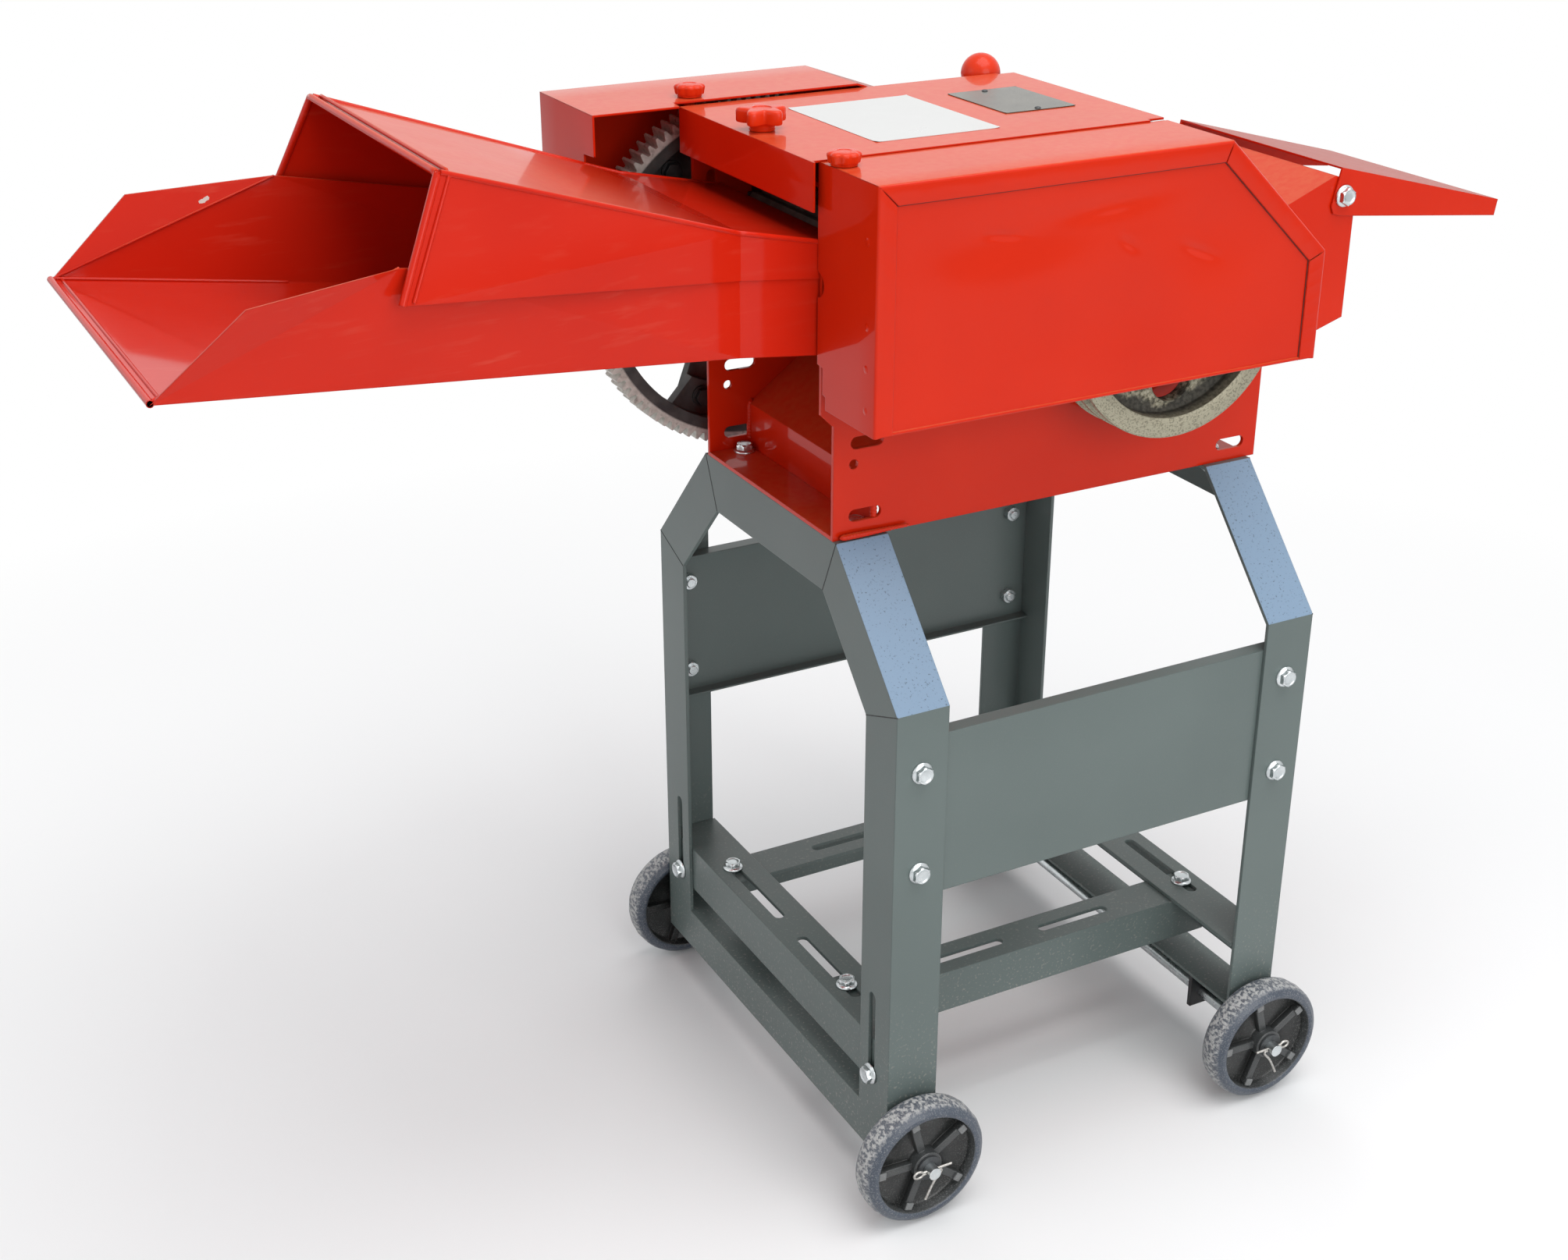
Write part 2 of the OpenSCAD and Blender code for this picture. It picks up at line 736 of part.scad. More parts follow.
module blade_bolts() {
    color(steel) place() round_rotor() for (s = [-1, 1]) {
        x_rod(seat_r - 18, s * spider_y, 0, 18 + blade_t + 1, bolt_r);
        translate([seat_r + blade_t, s * spider_y, 0]) rotate([0, 90, 0])
            cylinder(h = 4.5, r = bolt_r * 1.7, $fn = 6);
    }
}

// two-groove V-belt pulley with a holed web
module pulley() {
    rim = 15;
    groove = 11;
    mid = pulley_w / 2;
    hub_r = shaft_r + 13;
    grooves = [for (c = [mid - 8, mid + 8]) each [[pulley_r, c - 6.5], [pulley_r - groove, c - 3.5],
        [pulley_r - groove, c + 3.5], [pulley_r, c + 6.5]]];
    color(steel) place() translate([shaft_x, -pulley_in, shaft_z]) rotate([90, 0, 0]) difference() {
        union() {
            rotate_extrude($fn = 96) polygon(concat([[pulley_r - rim, 0], [pulley_r, 0]], grooves,
                [[pulley_r, pulley_w], [pulley_r - rim, pulley_w]]));
            cylinder(h = pulley_w, r = hub_r);
            translate([0, 0, mid - 5]) cylinder(h = 10, r = pulley_r - rim + 1);
        }
        translate([0, 0, -1]) cylinder(h = pulley_w + 2, r = shaft_r);
        for (i = [0:4]) rotate([0, 0, 18 + i * 72]) translate([(hub_r + pulley_r - rim) / 2, 0, -1])
            cylinder(h = pulley_w, r = 17);
    }
}

module shaft_nut() {
    color(steel) place() difference() {
        union() {
            y_rod(shaft_x, -pulley_out - 2.5, shaft_z, 2.5, shaft_r + 8);
            translate([shaft_x, -pulley_out - 2.5, shaft_z]) rotate([90, 0, 0])
                cylinder(h = 8, r = shaft_r + 5.5, $fn = 6);
        }
        y_rod(shaft_x, -pulley_out - 15, shaft_z, 30, shaft_r);
    }
}

// involute gear outline: n teeth, module m, a tooth centred on angle 0
function involute(a) = tan(a) * 180 / PI - a;
function tooth_half(r, n, m, play) =
    (90 - play / m * 180 / PI / 2) / n + involute(20) - involute(acos(min(1, n * m / 2 * cos(20) / r)));
function gear_outline(n, m, play, steps) =
    let (root = n * m / 2 - 1.25 * m, tip = n * m / 2 + m)
    let (flank = [for (k = [0:steps]) root + (tip - root) * k / steps])
    [for (i = [0:n - 1], k = [0:2 * steps + 1])
        let (side = k <= steps ? -1 : 1, r = flank[k <= steps ? k : 2 * steps + 1 - k])
        let (a = i * 360 / n + side * tooth_half(r, n, m, play))
        [r * cos(a), r * sin(a)]];

// extrudes a gear or other outline along Y, from y to y + w, turned by a in the XZ plane
module y_extrude(x, y, z, w, a) {
    translate([x, y + w, z]) rotate([90, 0, 0]) rotate([0, 0, a]) linear_extrude(w) children();
}

spider_dirs = [7, 127, 247];
gear_bolt_r = drive_m * gear_n / 2 - 29.5;
ring_in = gear_bolt_r + 14;
web_y = gear_y + gear_w - 9;

// toothed ring of the feed gear with three inner lugs
module feed_gear() {
    color(iron) place() difference() {
        union() {
            difference() {
                y_extrude(feed_x, gear_y, feed_z, gear_w, mesh_angle)
                    polygon(gear_outline(gear_n, drive_m, 0.3, 2));
                y_rod(feed_x, gear_y - 1, feed_z, gear_w + 2, ring_in);
            }
            for (a = spider_dirs) y_extrude(feed_x, web_y, feed_z, 9, a)
                polygon([[gear_bolt_r - 12, -14], [ring_in + 2, -24], [ring_in + 2, 24],
                    [gear_bolt_r - 12, 14]]);
        }
        for (a = spider_dirs) y_rod(feed_x + gear_bolt_r * cos(a), gear_y - 1, feed_z + gear_bolt_r * sin(a),
            gear_w + 2, bolt_r);
    }
}

// cast spider that carries the toothed ring on the roller's shaft
module feed_gear_spider() {
    y = gear_y + gear_w;
    t = 8;
    color(iron) place() difference() {
        union() {
            y_rod(feed_x, side_out + 5, feed_z, y + t - side_out - 5, 24);
            for (a = spider_dirs) y_extrude(feed_x, y, feed_z, t, a)
                polygon([[0, -18], [gear_bolt_r + 11, -13], [gear_bolt_r + 11, 13], [0, 18]]);
        }
        y_rod(feed_x, 0, feed_z, y + t + 1, roller_shaft_r);
        for (a = spider_dirs) y_rod(feed_x + gear_bolt_r * cos(a), y - 1, feed_z + gear_bolt_r * sin(a),
            t + 2, bolt_r);
    }
}

module feed_gear_bolts() {
    color(steel) place() for (a = spider_dirs)
        translate([feed_x + gear_bolt_r * cos(a), web_y, feed_z + gear_bolt_r * sin(a)]) rotate([90, 0, 0])
            hex_bolt(17);
}

// toothed feed roller on its shaft, shaft from y0 to y1
module feed_roller(z, y0, y1) {
    half = side_in - 10;
    root = roller_r - 6;
    step = 360 / roller_n;
    y_extrude(feed_x, -half, z, 2 * half, 0) polygon([for (i = [0:roller_n - 1], p =
        [[root, -0.42], [roller_r, -0.14], [roller_r, 0.14], [root, 0.42]])
        [p[0] * cos((i + p[1]) * step), p[0] * sin((i + p[1]) * step)]]);
    y_rod(feed_x, y0, z, y1 - y0, roller_shaft_r);
}

roller_gear_y = side_out + 17;
roller_gear_w = 14;

module lower_roller() {
    color(iron) place() feed_roller(feed_z, -roller_gear_y - roller_gear_w - 2, gear_y + gear_w + 10);
}

module upper_roller() {
    color(iron) place() feed_roller(upper_z, -roller_gear_y - roller_gear_w - 2, side_out + 13.5);
}

module roller_gear(z, a) {
    difference() {
        y_extrude(feed_x, -roller_gear_y - roller_gear_w, z, roller_gear_w, a)
            polygon(gear_outline(roller_gear_n, roller_m, 0.4, 4));
        y_rod(feed_x, -roller_gear_y - roller_gear_w - 1, z, roller_gear_w + 2, roller_shaft_r);
    }
}

module lower_roller_gear() {
    color(iron) place() roller_gear(feed_z, 90);
}

module upper_roller_gear() {
    color(iron) place() roller_gear(upper_z, -90 + 180 / roller_gear_n);
}

// blocks that carry the upper roller and slide in the side plates
module float_blocks() {
    collar = 3;
    y0 = side_in - 4;
    color(iron) place() both_sides() difference() {
        union() {
            translate([feed_x - block_half, y0, upper_z - block_half])
                cube([2 * block_half, side_out + 14 - y0, 2 * block_half]);
            for (y = [side_in - gap - collar, side_out + gap])
                translate([feed_x - block_half - 4, y, upper_z - block_half])
                    cube([2 * block_half + 8, collar, 2 * block_half]);
        }
        y_rod(feed_x, y0 - 1, upper_z, 40, roller_shaft_r + run);
    }
}

// springs that press the upper roller down, inside the guards
module roller_springs() {
    z = upper_z + block_half;
    color(steel) place() both_sides() translate([feed_x, side_out + 7.5, z]) difference() {
        cylinder(h = spring_top - z, r = 5.5);
        translate([0, 0, -1]) cylinder(h = spring_top - z + 2, r = 3.7);
    }
}

groove_w = 8;
peg_r = groove_w / 2 - 0.5;
hub_r = 24;
groove_r = 18.5;
pinion_hub_y = bearing_out + 0.6;

// pinion that slides on the shaft's key, with a groove for the fork
module pinion() {
    key_gap = 0.3;
    color(iron) place() difference() {
        union() {
            y_extrude(shaft_x, pinion_y, shaft_z, pinion_w, mesh_angle + 180 + 180 / pinion_n)
                polygon(gear_outline(pinion_n, drive_m, 0.3, 2));
            y_rod(shaft_x, pinion_hub_y, shaft_z, pinion_y - pinion_hub_y + 1, hub_r);
        }
        difference() {
            y_rod(shaft_x, fork_y - groove_w / 2, shaft_z, groove_w, hub_r + 5);
            y_rod(shaft_x, fork_y - groove_w, shaft_z, 2 * groove_w, groove_r);
        }
        y_rod(shaft_x, pinion_hub_y - 1, shaft_z, 60, shaft_r + run);
        translate([shaft_x - key_w / 2 - key_gap, pinion_hub_y - 1, shaft_z])
            cube([key_w + 2 * key_gap, 60, shaft_r + key_h + key_gap]);
    }
}

boss_half = 7;
boss_r = 8;
lever_bend_z = shaft_z + drive_m * pinion_n / 2 + 12;
ball_r = 16;
ball_at = [shaft_x, side_out + 19, plate_top - 1];

// lever with a ring round the pinion's hub, two pegs in its groove
module clutch_lever() {
    ring_r = 28.5;
    bar = 2 * boss_half - 1;
    y = fork_y - fork_t / 2;
    color(red) place() difference() {
        union() {
            difference() {
                union() {
                    y_rod(shaft_x, y, shaft_z, fork_t, ring_r + 10);
                    translate([shaft_x - bar / 2, y, lever_pivot_z])
                        cube([bar, fork_t, lever_bend_z - lever_pivot_z]);
                }
                y_rod(shaft_x, y - 1, shaft_z, fork_t + 2, ring_r);
            }
            for (s = [-1, 1]) x_rod(shaft_x + s * (ring_r - 3) - 6, fork_y, shaft_z, 12, peg_r);
            x_rod(shaft_x - boss_half, lever_pivot_y, lever_pivot_z, 2 * boss_half, boss_r);
            rod([shaft_x, fork_y, lever_bend_z - 6], ball_at, 5);
        }
        x_rod(shaft_x - 20, lever_pivot_y, lever_pivot_z, 40, bolt_r + run);
        translate(ball_at) sphere(r = ball_r + 0.02);
    }
}

module ball_knob() {
    color(red) place() difference() {
        translate(ball_at) sphere(r = ball_r);
        translate(ball_at - [50, 50, ball_r + 9.5]) cube([100, 100, 10]);
    }
}

// ears on the rear side plate and the pin that the lever turns on
module clutch_pivot() {
    ear = 3;
    h = lever_pivot_z + boss_r - stand_h - 1;
    color(red) place() {
        difference() {
            union() {
                translate([shaft_x - boss_half - gap - ear, side_out, stand_h + 1])
                    cube([2 * (boss_half + gap + ear), ear, h]);
                for (x = [shaft_x - boss_half - gap - ear, shaft_x + boss_half + gap])
                    translate([x, side_out, stand_h + 1]) cube([ear, lever_pivot_y + boss_r - side_out, h]);
            }
            x_rod(shaft_x - 20, lever_pivot_y, lever_pivot_z, 40, bolt_r + run);
        }
        color(steel) x_rod(shaft_x - 13, lever_pivot_y, lever_pivot_z, 26, bolt_r);
    }
}

// feed trough: points of one wall's outer face, with the floor's height along X
function trough_floor(x) = trough_z - (x + 7.5) * trough_rise;
function trough_edge(x) =
    trough_half + sheet + max(0, -x - flare_x) / (lip_x - flare_x) * (lip_half - trough_half);
function over(p) = [p[0], -p[1], p[2]];
mouth_x = hood_front_x - 3;
hem_r = 2;
hood_half = trough_half + 2 * sheet + 0.1;
hood_root_h = 76;
hood_flare_h = 84;

module feed_trough() {
    f0 = [trough_root, trough_edge(0), trough_floor(trough_root)];
    f1 = [trough_root, trough_edge(0), trough_floor(trough_root) + 62];
    g0 = [-flare_x, trough_edge(0), trough_floor(-flare_x)];
    g1 = [-flare_x, trough_edge(0), trough_floor(-flare_x) + 62];
    h0 = [-mouth_x, trough_edge(-mouth_x), trough_floor(-mouth_x)];
    h1 = [-mouth_x, trough_edge(-mouth_x) + 9, trough_floor(-mouth_x) + 73];
    lip = [hem_r - lip_x - 0.5, lip_half + sheet, trough_floor(-lip_x)];
    peak = [-lip_x + 58, lip_half + 11, trough_floor(-lip_x) + 49];
    inward = [0, -sheet, 0];
    up = [0, 0, sheet];
    color(red) place() {
        difference() {
            union() {
                both_sides() {
                    sheet_quad(f0, g0, g1, f1, inward);
                    sheet_quad(g0, h0, h1, g1, inward);
                    sheet_triangle(h0, lip, h1, inward);
                    sheet_triangle(lip, peak, h1, inward);
                }
                sheet_quad(f0, g0, over(g0), over(f0), up);
                sheet_quad(g0, lip, over(lip), over(g0), up);
                rod([hem_r - lip_x, lip[1], lip[2] + 1], [hem_r - lip_x, -lip[1], lip[2] + 1], hem_r, 8);
            }
            both_sides() for (z = trough_bolt_z) y_rod(4, trough_half - 5, z, 20, bolt_r + hole_gap);
        }
    }
}

// hood over the trough, wide at its mouth, with a hemmed edge
module feed_hood() {
    back = -hood_back_x;
    m0 = [-hood_front_x, trough_edge(-mouth_x) + 18, trough_floor(-mouth_x) + 53];
    m1 = [back, trough_edge(back) + 6.5, mouth_z];
    n0 = [-flare_x, hood_half, trough_floor(-flare_x) + 52];
    n1 = [-flare_x, hood_half, trough_floor(-flare_x) + hood_flare_h];
    r0 = [trough_root, hood_half, trough_floor(trough_root) + 53];
    r1 = [trough_root, hood_half, trough_floor(trough_root) + hood_root_h];
    inward = [0, -sheet, 0];
    down = [0, 0, -sheet];
    color(red) place() difference() {
        union() {
            both_sides() {
                sheet_quad(m0, m1, n1, n0, inward);
                sheet_quad(n0, n1, r1, r0, inward);
                rod(m0 + [0, -1, 0], m1 + [0, -1, -1], hem_r, 8);
            }
            sheet_quad(m1, over(m1), over(n1), n1, down);
            sheet_quad(n1, over(n1), over(r1), r1, down);
            rod(m1 + [0, -1, -1], over(m1) + [0, 1, -1], hem_r, 8);
        }
        both_sides() y_rod(4, trough_half - 5, trough_bolt_z[1], 20, bolt_r + hole_gap);
    }
}

// bolts of trough and hood through the side plates, and the deflector's pivot bolts
module shell_bolts() {
    color(steel) place() both_sides() {
        for (z = trough_bolt_z) translate([4, side_out, z]) rotate([-90, 0, 0])
            hex_bolt(side_out - trough_half);
        translate([deflector_x, side_in + sheet + 2 * gap, deflector_z]) rotate([-90, 0, 0])
            hex_bolt(2 * sheet + 2 * gap);
    }
}

// hinged sheet over the rotor and rollers, front edge turned down
module top_cover() {
    knuckle_r = 5;
    flap_end = cover_half + 4;
    flap_gap = 18.8;
    share = (cover_front + trough_root) / (flare_x + trough_root);
    hood_z = trough_floor(-cover_front) + hood_root_h + share * (hood_flare_h - hood_root_h);
    flap_z = hood_z + flap_gap;
    corner = [14, cover_half - side_in + 1];
    color(red) place() difference() {
        union() {
            translate([-cover_front, -cover_half, cover_z])
                cube([cover_front + slope_x, 2 * cover_half, sheet]);
            translate([-cover_front, -flap_end, flap_z])
                cube([sheet, flap_end + cover_half, cover_z + sheet - flap_z]);
            for (y = [-75, 45]) {
                y_rod(hinge_x, y, hinge_z, 30, knuckle_r);
                translate([hinge_x - knuckle_r, y, hinge_z]) cube([knuckle_r, 30, cover_z - hinge_z + 0.5]);
            }
        }
        y_rod(hinge_x, -side_in, hinge_z, 2 * side_in, hinge_pin_r + run);
        translate([-knob_x, 0, cover_z - 1]) cylinder(h = sheet + 2, r = stud_r + run);
        both_sides() translate([slope_x - corner[0], cover_half - corner[1], cover_z - 1])
            cube([corner[0] + 1, corner[1] + 1, sheet + 2]);
    }
}

module cover_hinge_pin() {
    color(steel) place() y_rod(hinge_x, -side_out, hinge_z, 2 * side_out, hinge_pin_r);
}

// star knob with its stud, clamping the cover to the fork lug
module star_knob() {
    lobes = 5;
    hub_h = 8;
    star_h = 10;
    color(red) place() translate([-knob_x, 0, cover_z + sheet + gap]) {
        cylinder(h = hub_h + 1, r = 9);
        translate([0, 0, hub_h]) {
            cylinder(h = star_h, r = 12);
            for (i = [0:lobes - 1]) rotate([0, 0, i * 360 / lobes]) translate([12.5, 0, 0])
                cylinder(h = star_h, r = 5.5);
        }
        translate([0, 0, lug_z - 8 - cover_z]) cylinder(h = cover_z + 8 - lug_z, r = stud_r);
    }
}

// folded guard: outline moved inwards by d, open below and towards the body
function guard_outline(x0, top, x1, x2, z2, d) =
    let (a = atan2(top - z2, x2 - x1))
    [[x0 + d, guard_z], [x0 + d, top - d], [x1 - d * tan(a / 2), top - d],
    [x2 - d, z2 - d * tan((90 - a) / 2)], [x2 - d, guard_z]];

module guard_shell(x0, top, x1, x2, z2, face_y) {
    inner = side_out + gap;
    below = [0, -5];
    function cut(d) = let (o = guard_outline(x0, top, x1, x2, z2, d))
        [o[0] + below, o[1], o[2], o[3], o[4] + below];
    difference() {
        xz_plate(guard_outline(x0, top, x1, x2, z2, 0), inner, face_y - inner);
        xz_plate(cut(sheet), inner - 1, face_y - inner + 1 - 2 * sheet);
        xz_plate(cut(guard_edge), face_y - sheet, sheet + 1);
    }
}

module stud_hole(top) {
    translate([-knob_x, guard_knob_y, top - 5]) cylinder(h = 10, r = stud_r + run);
}

module pulley_guard() {
    x0 = -12;
    color(red) place() mirror([0, 1, 0]) difference() {
        guard_shell(x0, guard_top, slope_x, slope_end_x, slope_end_z, pulley_guard_y);
        stud_hole(guard_top);
        x_rod(x0 - 1, side_out, guard_z + 77, 5, 7);
        translate([x0 - 1, side_out, guard_z - 1]) cube([5, 9, 11]);
        translate([x0 - 1, side_out, guard_z - 1]) cube([5, 5, 30]);
    }
}

// deeper guard over the gears, reaching inwards ahead of the cover, slotted for the clutch lever
module gear_guard() {
    x0 = -gear_guard_front;
    reach = 14;
    step_x = -cover_front - 5;
    slope_from = 128;
    slope_to = 335;
    slope_low = 715;
    inner = side_out + gap;
    color(red) place() difference() {
        union() {
            guard_shell(x0, gear_guard_z, slope_from, slope_to, slope_low, gear_guard_y);
            translate([x0, inner - reach, gear_guard_z - sheet]) cube([step_x - x0, reach + 1, sheet]);
            translate([x0, inner - reach, gear_guard_z - 30]) cube([sheet, reach + 1, 30]);
        }
        stud_hole(gear_guard_z);
        translate([shaft_x - 8, side_out + 6, gear_guard_z - 70]) cube([16, 46, 60]);
        translate([x0 - 1, side_out, guard_z - 1]) cube([sheet + 2, 4, gear_guard_z - 29 - guard_z]);
    }
}

// round knob with scallops and its stud
module guard_knob(top) {
    knob_r = 12.5;
    h = 11;
    scallops = 8;
    translate([-knob_x, guard_knob_y, top + gap]) {
        difference() {
            union() {
                cylinder(h = h - 2, r = knob_r);
                translate([0, 0, h - 2.5]) cylinder(h = 2.5, r1 = knob_r, r2 = knob_r - 2.5);
                cylinder(h = 3, r = knob_r - 3);
            }
            for (i = [0:scallops - 1]) rotate([0, 0, (i + 0.5) * 360 / scallops])
                translate([knob_r + 1.8, 0, -1]) cylinder(h = h + 2, r = 3.4, $fn = 24);
        }
        translate([0, 0, lug_z - 5 - top]) cylinder(h = top + 6 - lug_z, r = stud_r);
    }
}

module pulley_guard_knob() {
    color(red) place() mirror([0, 1, 0]) guard_knob(guard_top);
}

module gear_guard_knob() {
    color(red) place() guard_knob(gear_guard_z);
}

// chute from the rotor: sloped hood, roof, floor and two walls that carry the deflector
module discharge_chute() {
    x0 = scroll_out_x + 0.3;
    hood_x = slope_x + 8;
    roof_x = deflector_x - 8;
    roof_z = deflector_z + 15.5;
    edge = [[hood_x, plate_top - 8 * plate_slope], [slope_end_x, slope_end_z], [roof_x, roof_z]];
    fall = [0, -sheet * 1.4];
    floor_in = [[x0, chute_floor(x0)], [chute_x, chute_floor(chute_x)]];
    wall = concat([floor_in[0] - [0, sheet], floor_in[1] - [0, sheet]],
        [[chute_x, deflector_z + 2], [deflector_x + 4, deflector_z + 11], edge[2], edge[1],
        [x0, slope_end_z + (slope_end_x - x0) * plate_slope]]);
    color(red) place() difference() {
        union() {
            both_sides() xz_plate(wall, side_in - sheet, sheet);
            xz_plate(concat(edge, [for (i = [2:-1:0]) edge[i] + fall]), -side_in, 2 * side_in);
            xz_plate([floor_in[0], floor_in[1], floor_in[1] - [0, sheet], floor_in[0] - [0, sheet]],
                -side_in, 2 * side_in);
        }
        y_rod(deflector_x, -side_out, deflector_z, 2 * side_out, bolt_r + hole_gap);
    }
}

// channel-shaped deflector that turns on two bolts outside the chute
module deflector() {
    out = side_in + gap + sheet;
    tip = deflector_tip_x;
    z = deflector_z;
    rear = [deflector_x - 4.1, z + 21.4];
    front = [tip, z - 20.7];
    color(red) place() difference() {
        union() {
            both_sides() xz_plate([rear, front, front - [2, 12.5], [deflector_x - 2, z - 15],
                [deflector_x - 8.5, z - 13], [deflector_x - 11, z - 7]], side_in + gap, sheet);
            xz_plate([rear, front, front - [0, sheet], rear - [0, sheet]], -out, 2 * out);
        }
        y_rod(deflector_x, -out - 1, z, 2 * out + 2, bolt_r + run);
    }
}

feed_end_frame();
discharge_end_frame();
side_panels();
panel_bolts();
feed_end_motor_bar();
discharge_end_motor_bar();
motor_bar_bolts();
front_motor_rail();
rear_motor_rail();
front_rail_bolts();
rear_rail_bolts();
axle_tabs();
axles();
front_feed_wheel();
rear_feed_wheel();
front_discharge_wheel();
rear_discharge_wheel();
wheel_washers();
cotter_pins();
front_side_plate();
rear_side_plate();
sills();
body_bolts();
casing_sheet();
rotor_casing();
bed_knife_beam();
bed_knife();
lugs();
main_shaft();
bearings();
cutter_head();
blades();
blade_bolts();
pulley();
shaft_nut();
feed_gear();
feed_gear_spider();
feed_gear_bolts();
lower_roller();
upper_roller();
lower_roller_gear();
upper_roller_gear();
float_blocks();
roller_springs();
pinion();
clutch_lever();
ball_knob();
clutch_pivot();
feed_trough();
feed_hood();
shell_bolts();
top_cover();
cover_hinge_pin();
star_knob();
pulley_guard();
gear_guard();
pulley_guard_knob();
gear_guard_knob();
discharge_chute();
deflector();
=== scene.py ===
import math

import bmesh
import bpy
import numpy as np
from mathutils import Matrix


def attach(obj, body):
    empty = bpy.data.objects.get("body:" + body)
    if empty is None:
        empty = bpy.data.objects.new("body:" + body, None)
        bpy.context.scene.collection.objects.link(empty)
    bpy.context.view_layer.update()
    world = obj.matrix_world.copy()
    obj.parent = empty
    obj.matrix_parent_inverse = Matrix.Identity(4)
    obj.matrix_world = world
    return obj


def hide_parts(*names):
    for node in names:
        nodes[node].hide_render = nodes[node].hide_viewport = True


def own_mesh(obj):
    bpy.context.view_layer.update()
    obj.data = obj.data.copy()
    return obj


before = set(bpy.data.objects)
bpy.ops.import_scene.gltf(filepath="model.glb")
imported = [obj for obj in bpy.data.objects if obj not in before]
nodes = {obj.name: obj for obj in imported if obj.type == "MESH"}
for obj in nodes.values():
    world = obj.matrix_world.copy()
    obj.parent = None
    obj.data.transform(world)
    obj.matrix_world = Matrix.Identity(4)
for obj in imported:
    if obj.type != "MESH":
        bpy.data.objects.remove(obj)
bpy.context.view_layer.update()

# The stand's end frames, side panels and motor bars
# Angle iron and sheet, cut, bent and welded, then sprayed in one grey coat.
# The coat is satin with a fine grain and dusty low down; the legs' upward slopes carry a painted pale blue sky
# reflection, pitted with darker specks.


def new_finish(name):
    """Node material with one Principled shader wired to its output."""
    finish = bpy.data.materials.new(name)
    finish.use_nodes = True
    tree = finish.node_tree
    tree.nodes.clear()
    out = tree.nodes.new("ShaderNodeOutputMaterial")
    shader = tree.nodes.new("ShaderNodeBsdfPrincipled")
    tree.links.new(shader.outputs["BSDF"], out.inputs["Surface"])
    return finish, tree, shader


def place_on(tree):
    """The point on the piece, in metres."""
    return tree.nodes.new("ShaderNodeTexCoord").outputs["Object"]


def feed(tree, value, socket):
    """Links a socket, or sets a plain number or colour on it."""
    if isinstance(value, bpy.types.NodeSocket):
        tree.links.new(value, socket)
    elif isinstance(value, (int, float)):
        socket.default_value = value
    else:
        socket.default_value = (*value, 1) if len(socket.default_value) == 4 else value


def grain(tree, scale, detail=3.0, stretch=(1, 1, 1)):
    """Noise over the piece, scale in cells per metre, drawn out along the axes."""
    turn = tree.nodes.new("ShaderNodeMapping")
    turn.inputs["Scale"].default_value = stretch
    tree.links.new(place_on(tree), turn.inputs["Vector"])
    cloud = tree.nodes.new("ShaderNodeTexNoise")
    cloud.inputs["Scale"].default_value = scale
    cloud.inputs["Detail"].default_value = detail
    tree.links.new(turn.outputs["Vector"], cloud.inputs["Vector"])
    return cloud.outputs["Fac"]


def shade(tree, value, stops):
    """Colour ramp over a value: stops are (position, linear rgb)."""
    ramp = tree.nodes.new("ShaderNodeValToRGB")
    while len(ramp.color_ramp.elements) < len(stops):
        ramp.color_ramp.elements.new(0.5)
    for element, (position, colour) in zip(ramp.color_ramp.elements, stops):
        element.position = position
        element.color = (*colour, 1)
    tree.links.new(value, ramp.inputs["Fac"])
    return ramp.outputs["Color"]


def spread(tree, value, low, high, start=0.0, end=1.0):
    """Maps start to end on to low to high, held at both ends."""
    span = tree.nodes.new("ShaderNodeMapRange")
    for name, number in (("From Min", start), ("From Max", end), ("To Min", low), ("To Max", high)):
        span.inputs[name].default_value = number
    tree.links.new(value, span.inputs["Value"])
    return span.outputs["Result"]


def sums(tree, kind, first, second):
    """One step of arithmetic between two values."""
    step = tree.nodes.new("ShaderNodeMath")
    step.operation = kind
    feed(tree, first, step.inputs[0])
    feed(tree, second, step.inputs[1])
    return step.outputs["Value"]


def blend_colours(tree, share, first, second):
    """First colour where share is 0, second where it is 1."""
    mix = tree.nodes.new("ShaderNodeMix")
    mix.data_type = "RGBA"
    for socket, value in ((mix.inputs[0], share), (mix.inputs[6], first), (mix.inputs[7], second)):
        feed(tree, value, socket)
    return mix.outputs[2]


def along(tree, axis):
    """One coordinate of the point on the piece: 0, 1 or 2."""
    split = tree.nodes.new("ShaderNodeSeparateXYZ")
    tree.links.new(place_on(tree), split.inputs[0])
    return split.outputs[axis]


def facing_up(tree):
    """How far the surface faces up: 1 on a level top, 0 on an upright wall."""
    split = tree.nodes.new("ShaderNodeSeparateXYZ")
    tree.links.new(tree.nodes.new("ShaderNodeTexCoord").outputs["Normal"], split.inputs[0])
    return split.outputs[2]


def relief(tree, shader, layers, edge=0.0):
    """Bumps, each (height, strength, distance), laid over edges rounded by edge metres."""
    normal = None
    if edge:
        soft = tree.nodes.new("ShaderNodeBevel")
        soft.samples = 6
        soft.inputs["Radius"].default_value = edge
        normal = soft.outputs["Normal"]
    for height, strength, distance in layers:
        bump = tree.nodes.new("ShaderNodeBump")
        bump.inputs["Strength"].default_value = strength
        bump.inputs["Distance"].default_value = distance
        tree.links.new(height, bump.inputs["Height"])
        if normal:
            tree.links.new(normal, bump.inputs["Normal"])
        normal = bump.outputs["Normal"]
    tree.links.new(normal, shader.inputs["Normal"])


def dress(finish, *names):
    """Gives solids of the frame one finish."""
    for name in names:
        nodes[name].data.materials.clear()
        nodes[name].data.materials.append(finish)


